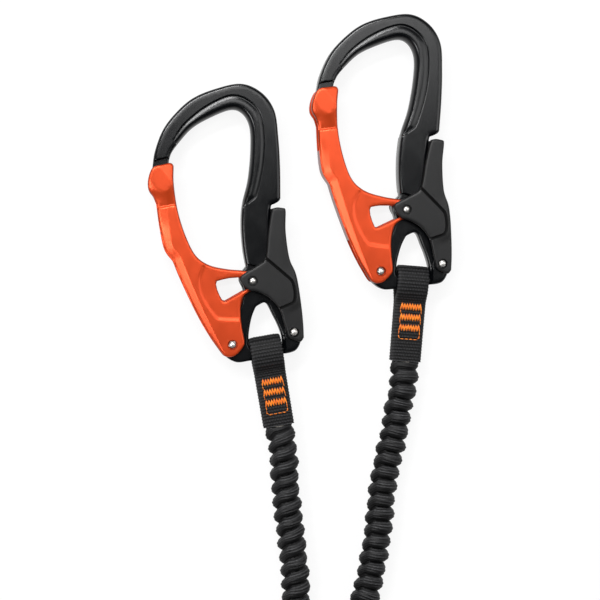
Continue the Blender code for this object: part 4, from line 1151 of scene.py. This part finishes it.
def webbing_mesh(path, width, thickness, fronts=44):
    """A band along the path, its width across X. width(share) is its width at that share of it."""
    shape = bmesh.new()
    layer = shape.loops.layers.uv.new("weave")
    lengths = lengths_along(path)
    half_thick = thickness / 2
    round_edge = half_thick * 0.8
    plan = []
    for face in (1, -1):
        plan += [(face * (2 * step / fronts - 1), face, 0) for step in range(fronts + 1)]
        plan += [(face, 0, face * math.pi / 2 - math.pi * step / BAND_CORNER)
                 for step in range(1, BAND_CORNER)]

    def half_at(index):
        return width(lengths[index] / lengths[-1]) / 2

    def section(index):
        out = X.cross(ahead_at(path, index).normalized()).normalized()
        flat = half_at(index) - round_edge
        ridge = abs(math.cos(math.pi * lengths[index] / ROW_PITCH))
        points = []
        for place, face, angle in plan:
            if face:
                spot = place * flat
                rise = face * (half_thick + weave_height(lengths[index], spot, flat))
            else:
                spot = place * (flat + (round_edge + 0.00030 * ridge) * abs(math.cos(angle)))
                rise = half_thick * math.sin(angle)
            points.append(path[index] + X * spot + out * rise)
        return points

    def mapped(index, spot):
        place, face, _ = plan[spot % len(plan)]
        return (place * half_at(index) * (1 if face else 1.1), lengths[index])

    swept(shape, path, section, layer, mapped)
    return meshed(shape)


def even(width):
    """A band's width where it is the same all along."""
    return lambda share: width


def tube(shape, path, radius, sides=7, taper=False):
    """A thread along the path in the working shape."""
    frames = frames_along(path, (Z + X * 0.013).normalized())

    def section(index):
        size = radius * (0.55 if taper and index in (0, len(path) - 1) else 1)
        return [turned(path[index], frames[index], size, angle) for angle in turns_of(sides)]

    swept(shape, path, section)


def bar_tack(shape, centre, half, tall, face):
    """A dense zigzag with its points up and down, laid on a face at height face (with its sign)."""
    sign = 1 if face > 0 else -1
    points = []
    for step in range(TACK_STEPS + 1):
        x = centre.x - half + 2 * half * step / TACK_STEPS
        uneven = 1 + 0.09 * math.sin(step * 2.3 + half * 999)
        points.append(Vector((x, centre.y + (tall / 2 if step % 2 else -tall / 2) * uneven, face)))
    path = []
    for number, (a, b) in enumerate(zip(points, points[1:])):
        for share in (0, 0.25, 0.5, 0.75):
            spot = a.lerp(b, share)
            spot.z += sign * (0.00030 if number % 2 else 0.00016) * math.sin(math.pi * share)
            path.append(spot)
    tube(shape, path + points[-1:], TACK_RADIUS)


def running_stitch(shape, path, face, stitch=0.0016, gap=0.0005, radius=0.00021):
    """Separate stitches along a path of plan points, on a face at that height or on a surface
    height(x, y)."""
    level = face if callable(face) else lambda x, y: face
    sign = 1 if level(0, 0) > 0 else -1
    fine = spaced([Vector(point) for point in path], STITCH_STEP)
    size = int(round(stitch / STITCH_STEP))
    step = int(round((stitch + gap) / STITCH_STEP))
    for start in range(0, len(fine) - size, step):
        run = fine[start:start + size + 1:4]
        points = []
        for index, (x, y) in enumerate(run):
            rise = sign * 0.00022 * math.sin(math.pi * index / (len(run) - 1))
            points.append(Vector((x, y, level(x, y) + rise)))
        tube(shape, points, radius, taper=True)


def strap_path(name):
    """The folded band: down the front layer, round the frame's bar and back, seen from its edge."""
    splice = -BAR_DEPTH - STRAP_SPLICE
    foot = STRAP_TOP - STRAP_LENGTH + EARLY_SLEEVE[name]
    close, far = STRAP_THICKNESS / 2 + 0.00004, 0.0049
    front = [(foot, close), (-0.030, close), (-0.020, close + 0.00005), (splice, close + 0.0003),
             (splice + 0.003, close + 0.0017), (-BAR_DEPTH - 0.0002, far - 0.0005),
             (-BAR_DEPTH + 0.003, far), (-0.0035, far), (-0.0006, far - 0.0005),
             (0.0015, far - 0.0020), (0.0026, 0)]
    half = smooth([Vector((0, y, z)) for y, z in front], 10)
    back = [Vector((0, point.y, -point.z)) for point in reversed(half[:-1])]
    return spaced(half + back, BAND_STEP)


def strap_width(share):
    """A little narrower towards both ends of the band, where it goes into the arm."""
    return 0.0141 + 0.0004 * (1 - abs(2 * share - 1))


def strap_threads(name):
    """On both faces three bar tacks and a U seam under them, with a short run beside each gap."""
    shape = bmesh.new()
    left, right, top, foot, corner = -0.0046, 0.0052, -0.0290, -0.0328, 0.0009
    seam = [(left, top), (left, foot + corner), (left + corner, foot), (right - corner, foot),
            (right, foot + corner), (right, top)]
    for sign in (-1, 1):
        face = sign * (STRAP_THICKNESS + 0.0002)
        for index in range(3):
            bar_tack(shape, Vector((0.0003, -0.0175 - index * 0.00495)), 0.0049, 0.0029, face)
        running_stitch(shape, seam, face)
        for x in (left, right):
            for y in (-0.0191, -0.0240):
                running_stitch(shape, [(x, y), (x + 0.0002, y - 0.0019)], face, radius=0.00015)
    bmesh.ops.translate(shape, verts=shape.verts, vec=Y * STITCH_RISE[name])
    return meshed(shape)


def build_sewn(stem, node, band, at_band, thread, at_thread):
    """A band of webbing and the stitches on it."""
    piece(stem + "_webbing", band, "webbing", "webbing", [node], matrix=at_band, angle=70)
    piece(stem + "_thread", thread, "thread", "thread", [stem + "_stitches"],
          matrix=at_thread, angle=70)


def build_strap(name):
    at = strap_matrix(SIDES[name], STRAP_SHIFT[name])
    band = webbing_mesh(strap_path(name), strap_width, STRAP_THICKNESS - 0.0001)
    build_sewn(name + "_strap", name + "_strap", band, at, strap_threads(name), at)


def end_strap_mesh():
    path = spaced([Vector((0, 0, 0)), Vector((0, END_STRAP_LENGTH, 0))], BAND_STEP)
    return webbing_mesh(path, even(STRAP_WIDTH), 2 * STRAP_THICKNESS - 0.0002)


def end_threads():
    shape = bmesh.new()
    for sign in (-1, 1):
        bar_tack(shape, Vector((0, 0.0070)), 0.0050, 0.0036, sign * (STRAP_THICKNESS + 0.0001))
    return meshed(shape)


def build_end_strap(name, meshes):
    spot = Vector((SIDES[name]["end_x"], MOUTH.y - END_STRAP_OUTSIDE, ARM_HEIGHT)) + SHIFT
    at = Matrix.Translation(spot)
    band, thread = meshes["end_strap"], meshes["end_thread"]
    build_sewn(name + "_end", name + "_end_strap", band, at, thread, at)


# ---- pouch, absorber, zip and loop ------------------------------------------------------------

POUCH_WIDTH = 0.062
POUCH_LENGTH = 0.102
POUCH_HEIGHT = 0.028
POUCH_WALL = 0.0015
POUCH_SIDES = 40
POUCH_END = 0.016
ZIP_LENGTH = 0.080
ZIP_START = (POUCH_LENGTH - ZIP_LENGTH) / 2
ZIP_HEIGHT = POUCH_HEIGHT + RUNNING_GAP
TOOTH_PITCH = 0.0016
TOOTH_SIZE = (0.0038, 0.00124, 0.0013)
TOOTH_MIDDLE = 0.00105
AT_MOUTH = Matrix.Translation(MOUTH + SHIFT)
ABSORBER_LENGTH = 0.068
ABSORBER_LAYERS = 5
ABSORBER_PITCH = 0.0039
LOOP_THICKNESS = 0.0030
LOOP_END = 0.00825
LOOP_REACH = 0.092
LOOP_NECK = -0.018
LOOP_TAIL = 0.020


def pouch_section(along, inset):
    """The pouch's rounded section at that distance from its mouth, in X and Z."""
    close = max(0.0, min(1.0, (POUCH_LENGTH - inset - along) / POUCH_END))
    taper = math.sqrt(max(1 - (1 - close) ** 2, 0.0))
    half = (POUCH_WIDTH / 2 - inset) * (0.72 + 0.28 * taper)
    tall = (POUCH_HEIGHT / 2 - inset) * (0.35 + 0.65 * taper)
    sag = 0.0005 * math.sin(along * 190) + 0.0004 * math.sin(along * 90 + 1)
    points = []
    for angle in turns_of(POUCH_SIDES):
        c, s = math.cos(angle), math.sin(angle)
        x = half * math.copysign(abs(c) ** 0.42, c)
        z = tall * math.copysign(abs(s) ** 0.5, s)
        crumple = sag * math.sin(3 * angle + along * 120) if s > -0.3 else 0
        points.append((x + 0.4 * crumple, POUCH_HEIGHT / 2 + z - abs(crumple)))
    return points


def pouch_ring(shape, along, inset):
    """The section as vertices, kept above the floor."""
    return [shape.verts.new((x, along, max(z, 0.0))) for x, z in pouch_section(along, inset)]


def pouch_mesh():
    """A sewn bag with its mouth open and its far end closed, and a real inside."""
    shape = bmesh.new()
    outer_stops = [POUCH_LENGTH * t for t in np.linspace(0, 1, 60) ** 0.9]
    inner_stops = [(POUCH_LENGTH - POUCH_WALL) * t for t in np.linspace(0, 1, 30)]
    mouths = []
    for stops, inset in ((outer_stops, 0.0), (inner_stops, POUCH_WALL)):
        rings = [pouch_ring(shape, stop, inset) for stop in stops]
        bridged(shape, rings)
        shape.faces.new(rings[-1])
        mouths.append(rings[0])
    bridged(shape, mouths)
    return meshed(shape)


def pouch_top(x, along):
    """The height of the pouch's upper face at that place."""
    upper = pouch_section(along, 0.0)[POUCH_SIDES // 2::-1]
    return float(np.interp(x, *zip(*upper)))


def binding_mesh():
    """Tape folded over the rim of the mouth, and piping along the sides and the closed end."""
    shape = bmesh.new()
    fold = ((0.0, 0.0010), (-0.0005, 0.0004), (-0.0003, -0.0006), (0.0055, -0.0006),
            (0.0058, 0.0004))
    rings = [pouch_ring(shape, along, inset) for along, inset in fold]
    bridged(shape, rings + rings[:1])
    stops = 0.0030 + (POUCH_LENGTH - 0.0030) * np.sin(np.linspace(0, math.pi / 2, 60))
    sides = []
    for spot in (0, POUCH_SIDES // 2):
        places = [pouch_section(stop, 0.0)[spot] for stop in stops]
        sides.append([Vector((x, stop, z)) for (x, z), stop in zip(places, stops)])
    tube(shape, spaced(sides[0] + sides[1][::-1], 0.001), 0.0009, 10)
    return meshed(shape)


def seam_threads():
    """Rows of dark stitches on the binding, round the upper face and beside the zip."""
    shape = bmesh.new()

    def surface(x, y):
        return pouch_top(x, y) + 0.0001

    across = [(x, 0.0042) for x in np.linspace(-0.024, 0.024, 30)]
    running_stitch(shape, across, lambda x, y: surface(x, y) + 0.0006, **SEAM)
    wide, near, far = 0.0245, 0.0085, 0.0925
    stops = np.linspace(near, far - 0.004, 30)
    round_face = [(-wide, y) for y in stops] + [(-wide + 0.004, far)]
    round_face += [(x, far) for x in np.linspace(-0.018, 0.018, 12)] + [(wide - 0.004, far)]
    round_face += [(wide, y) for y in np.linspace(far - 0.004, near, 30)]
    running_stitch(shape, round_face, surface, **SEAM)
    for x in (-0.0067, 0.0067):
        line = [(x, ZIP_START + 0.001), (x, ZIP_START + ZIP_LENGTH - 0.001)]
        running_stitch(shape, line, ZIP_HEIGHT + 0.0005, **SEAM)
    return meshed(shape)


def absorber_mesh():
    """Tear webbing folded to and fro in layers."""
    path = []
    radius = ABSORBER_PITCH / 2
    for layer in range(ABSORBER_LAYERS):
        way = -1 if layer % 2 else 1
        start, finish = (radius, ABSORBER_LENGTH - radius)[::way]
        height = 0.0016 + layer * ABSORBER_PITCH
        path += [Vector((0, y, height)) for y in np.linspace(start, finish, 60)]
        if layer < ABSORBER_LAYERS - 1:
            for step in range(1, 8):
                angle = math.pi * step / 8
                path.append(Vector((0, finish + way * radius * math.sin(angle),
                                    height + radius * (1 - math.cos(angle)))))
    return webbing_mesh(spaced(path, 0.0006), even(0.050), 0.0030, 40)


def loop_path():
    """The tie-in loop from its edge: a tail in the pouch, and an eye that lies on the floor."""
    half = LOOP_THICKNESS / 2
    top, end = 2 * LOOP_END - half, LOOP_END - LOOP_REACH
    over, under = ARM_HEIGHT + half, ARM_HEIGHT - half
    upper = [(LOOP_TAIL, over), (0.0, over), (LOOP_NECK, over + 0.0001),
             (LOOP_NECK - 0.0055, over + 0.0015), (LOOP_NECK - 0.0148, top - 0.0002),
             (LOOP_NECK - 0.03, top), (end + 0.006, top)]
    bend = [(end - (LOOP_END - half) * math.sin(a), LOOP_END + (LOOP_END - half) * math.cos(a))
            for a in np.linspace(0, math.pi, 9)]
    lower = [(end + 0.006, half), (LOOP_NECK - 0.03, half), (LOOP_NECK - 0.0148, half + 0.0002),
             (LOOP_NECK - 0.0055, under - 0.0015), (LOOP_NECK, under - 0.0001),
             (0.0, under), (LOOP_TAIL, under)]
    return spaced(smooth([Vector((0, y, z)) for y, z in upper + bend + lower], 8), 0.0004)


def loop_threads():
    shape = bmesh.new()
    for sign in (-1, 1):
        for y in (-0.0110, -0.0158):
            bar_tack(shape, Vector((0, y)), 0.0058, 0.0036, sign * 0.0031)
    return meshed(shape)


def build_pouch():
    inside_start = END_STRAP_LENGTH - END_STRAP_OUTSIDE + RUNNING_GAP
    at_pack = AT_MOUTH @ Matrix.Translation((0, inside_start, POUCH_WALL + RUNNING_GAP))
    at_loop = AT_MOUTH @ Matrix.Translation((0.0430 - MOUTH.x, 0, 0))
    at_tack = at_loop @ Matrix.Translation((0, 0, ARM_HEIGHT))
    piece("pouch_bag", pouch_mesh(), "cloth", "cloth", ["pouch"], matrix=AT_MOUTH, angle=60)
    piece("pouch_binding", binding_mesh(), "binding", "cloth", matrix=AT_MOUTH, angle=60)
    piece("pouch_seams", seam_threads(), "dark_thread", "thread", matrix=AT_MOUTH, angle=70)
    piece("absorber_webbing", absorber_mesh(), "webbing", "webbing", ["absorber"],
          matrix=at_pack, angle=70)
    loop = webbing_mesh(loop_path(), even(0.0160), 0.0029)
    build_sewn("tie_in", "tie_in_loop", loop, at_loop, loop_threads(), at_tack)


def tape_mesh():
    """Both tapes of the zip with their ribs, seen from above."""
    shape = bmesh.new()
    stops = np.linspace(0, ZIP_LENGTH, 160)
    across = np.linspace(0.0012, 0.008, 14)
    profile = [(x, 0.00045 + 0.00012 * abs(math.sin(x * 3500))) for x in across]
    profile += [(x, 0.0) for x in across[::-1]]
    for sign in (-1, 1):
        swept(shape, stops, lambda index: [(sign * x, stops[index], z) for x, z in profile])
    return meshed(shape)


def chain_mesh():
    """The zip's closed row of moulded teeth."""
    shape = bmesh.new()
    for number in range(int(ZIP_LENGTH / TOOTH_PITCH)):
        at = Matrix.Translation((0, (number + 0.5) * TOOTH_PITCH, TOOTH_MIDDLE))
        made = bmesh.ops.create_cube(shape, size=1, matrix=at @ Matrix.Diagonal((*TOOTH_SIZE, 1)))
        edges = list({edge for vert in made["verts"] for edge in vert.link_edges})
        bmesh.ops.bevel(shape, geom=edges, offset=0.0003, segments=2, profile=0.5, affect="EDGES")
    return meshed(shape)


def build_zip():
    at = AT_MOUTH @ Matrix.Translation((0, ZIP_START, ZIP_HEIGHT))
    piece("zip_tapes", tape_mesh(), "binding", "cloth", ["zip_tape"], matrix=at, angle=50)
    piece("zip_chain", chain_mesh(), "teeth", "cloth", matrix=at, angle=50)
    for name, look in (("zip_slider", "steel"), ("zip_pull", "grey")):
        for slot in frame["nodes"][name].material_slots:
            slot.material = LOOKS[look]


# ---- stage and light --------------------------------------------------------------------------

FLOOR_TONE = (0.16, 0.16, 0.16)
FLOOR_SHOWN = (0.93, 0.93, 0.93)
FLOOR_GLOW = 0.88


def build_stage():
    """A floor that takes the object's shadow. The rays that show the background see it pale."""
    shape = bmesh.new()
    bmesh.ops.create_grid(shape, x_segments=1, y_segments=1, size=6)
    floor = linked("floor", meshed(shape))
    look = Look("pale_floor", FLOOR_SHOWN, 0.9)
    shown = look.shown_ray()
    look.colour(look.mix(shown, FLOOR_TONE, FLOOR_SHOWN))
    shares = {0: look.math("MULTIPLY", shown, FLOOR_GLOW), 1: look.shader.outputs[0],
              2: look.add("ShaderNodeEmission").outputs[0]}
    mixed = look.add("ShaderNodeMixShader", shares)
    look.links.new(mixed.outputs[0], look.nodes["Material Output"].inputs["Surface"])
    floor.data.materials.append(look.made)


def lamp(name, spot, aim, size, power, size_y=None):
    data = bpy.data.lights.new(name, "AREA")
    data.energy = power
    data.shape = "RECTANGLE"
    data.size = size
    data.size_y = size_y or size
    made = linked(name, data)
    back = (Vector(spot) - Vector(aim)).normalized()
    made.matrix_world = Matrix.Translation(spot) @ back.to_track_quat("Z", "Y").to_matrix().to_4x4()


def build_light():
    world = bpy.data.worlds.new("world")
    bpy.context.scene.world = world
    world.use_nodes = True
    sky = Graph(world.node_tree)
    spot = sky.add("ShaderNodeTexCoord").outputs["Generated"]
    height = sky.add("ShaderNodeSeparateXYZ", {"Vector": spot}).outputs["Z"]
    dim = sky.span(height, 0.25, 1.0, 0.01, 0.05)
    pale = sky.product(sky.shown_ray(), sky.span(height, 0.08, 0.30, 1.0, 0.0))
    strength = sky.add("ShaderNodeMix", {0: pale, 2: dim, 3: 1.0}).outputs[0]
    background = sky.nodes["Background"].inputs
    sky.links.new(strength, background["Strength"])
    background["Color"].default_value = (1, 1, 1, 1)
    lamp("key", (-0.30, 0.74, 0.82), AIM, 0.8, 10, 0.13)
    lamp("left", (-0.62, -0.05, 0.80), AIM, 0.35, 4)
    lamp("overhead", (-0.05, 0.57, 1.20), (-0.05, 0.26, 0), 0.9, 5.4, 0.40)
    lamp("right", (0.70, 0.30, 0.80), AIM, 0.6, 3)
    bpy.context.scene.view_settings.view_transform = "Standard"


# ---- building ---------------------------------------------------------------------------------

def main():
    build_camera()
    for name in SIDES:
        build_arm(name)
    meshes = {
        "frame": frame_mesh(),
        "gate": gate_mesh(),
        "lever": lever_mesh(),
        "gate_rivet": rivet_mesh(PIN_HOLE, GATE_FACE),
        "lever_rivet": rivet_mesh(PIN_HOLE, LEVER_OUTER),
        "lock_pin": rivet_mesh(LOCK_PIN_RADIUS, LEVER_OUTER),
        "gate_spring": coil_mesh(0.0028, 0.00035, -0.00055, 0.00265, 2.5),
        "lever_spring": coil_mesh(0.0017, 0.0003, SPRING_SEAT + 0.0004, 0.345 * WIDTH - 0.0024, 6),
        "end_strap": end_strap_mesh(),
        "end_thread": end_threads(),
    }
    meshes["lever_spring"].transform(SPRING_AXIS)
    for name in SIDES:
        build_carabiner(name, meshes)
        build_strap(name)
        build_end_strap(name, meshes)
    build_pouch()
    build_zip()
    build_stage()
    build_light()


main()
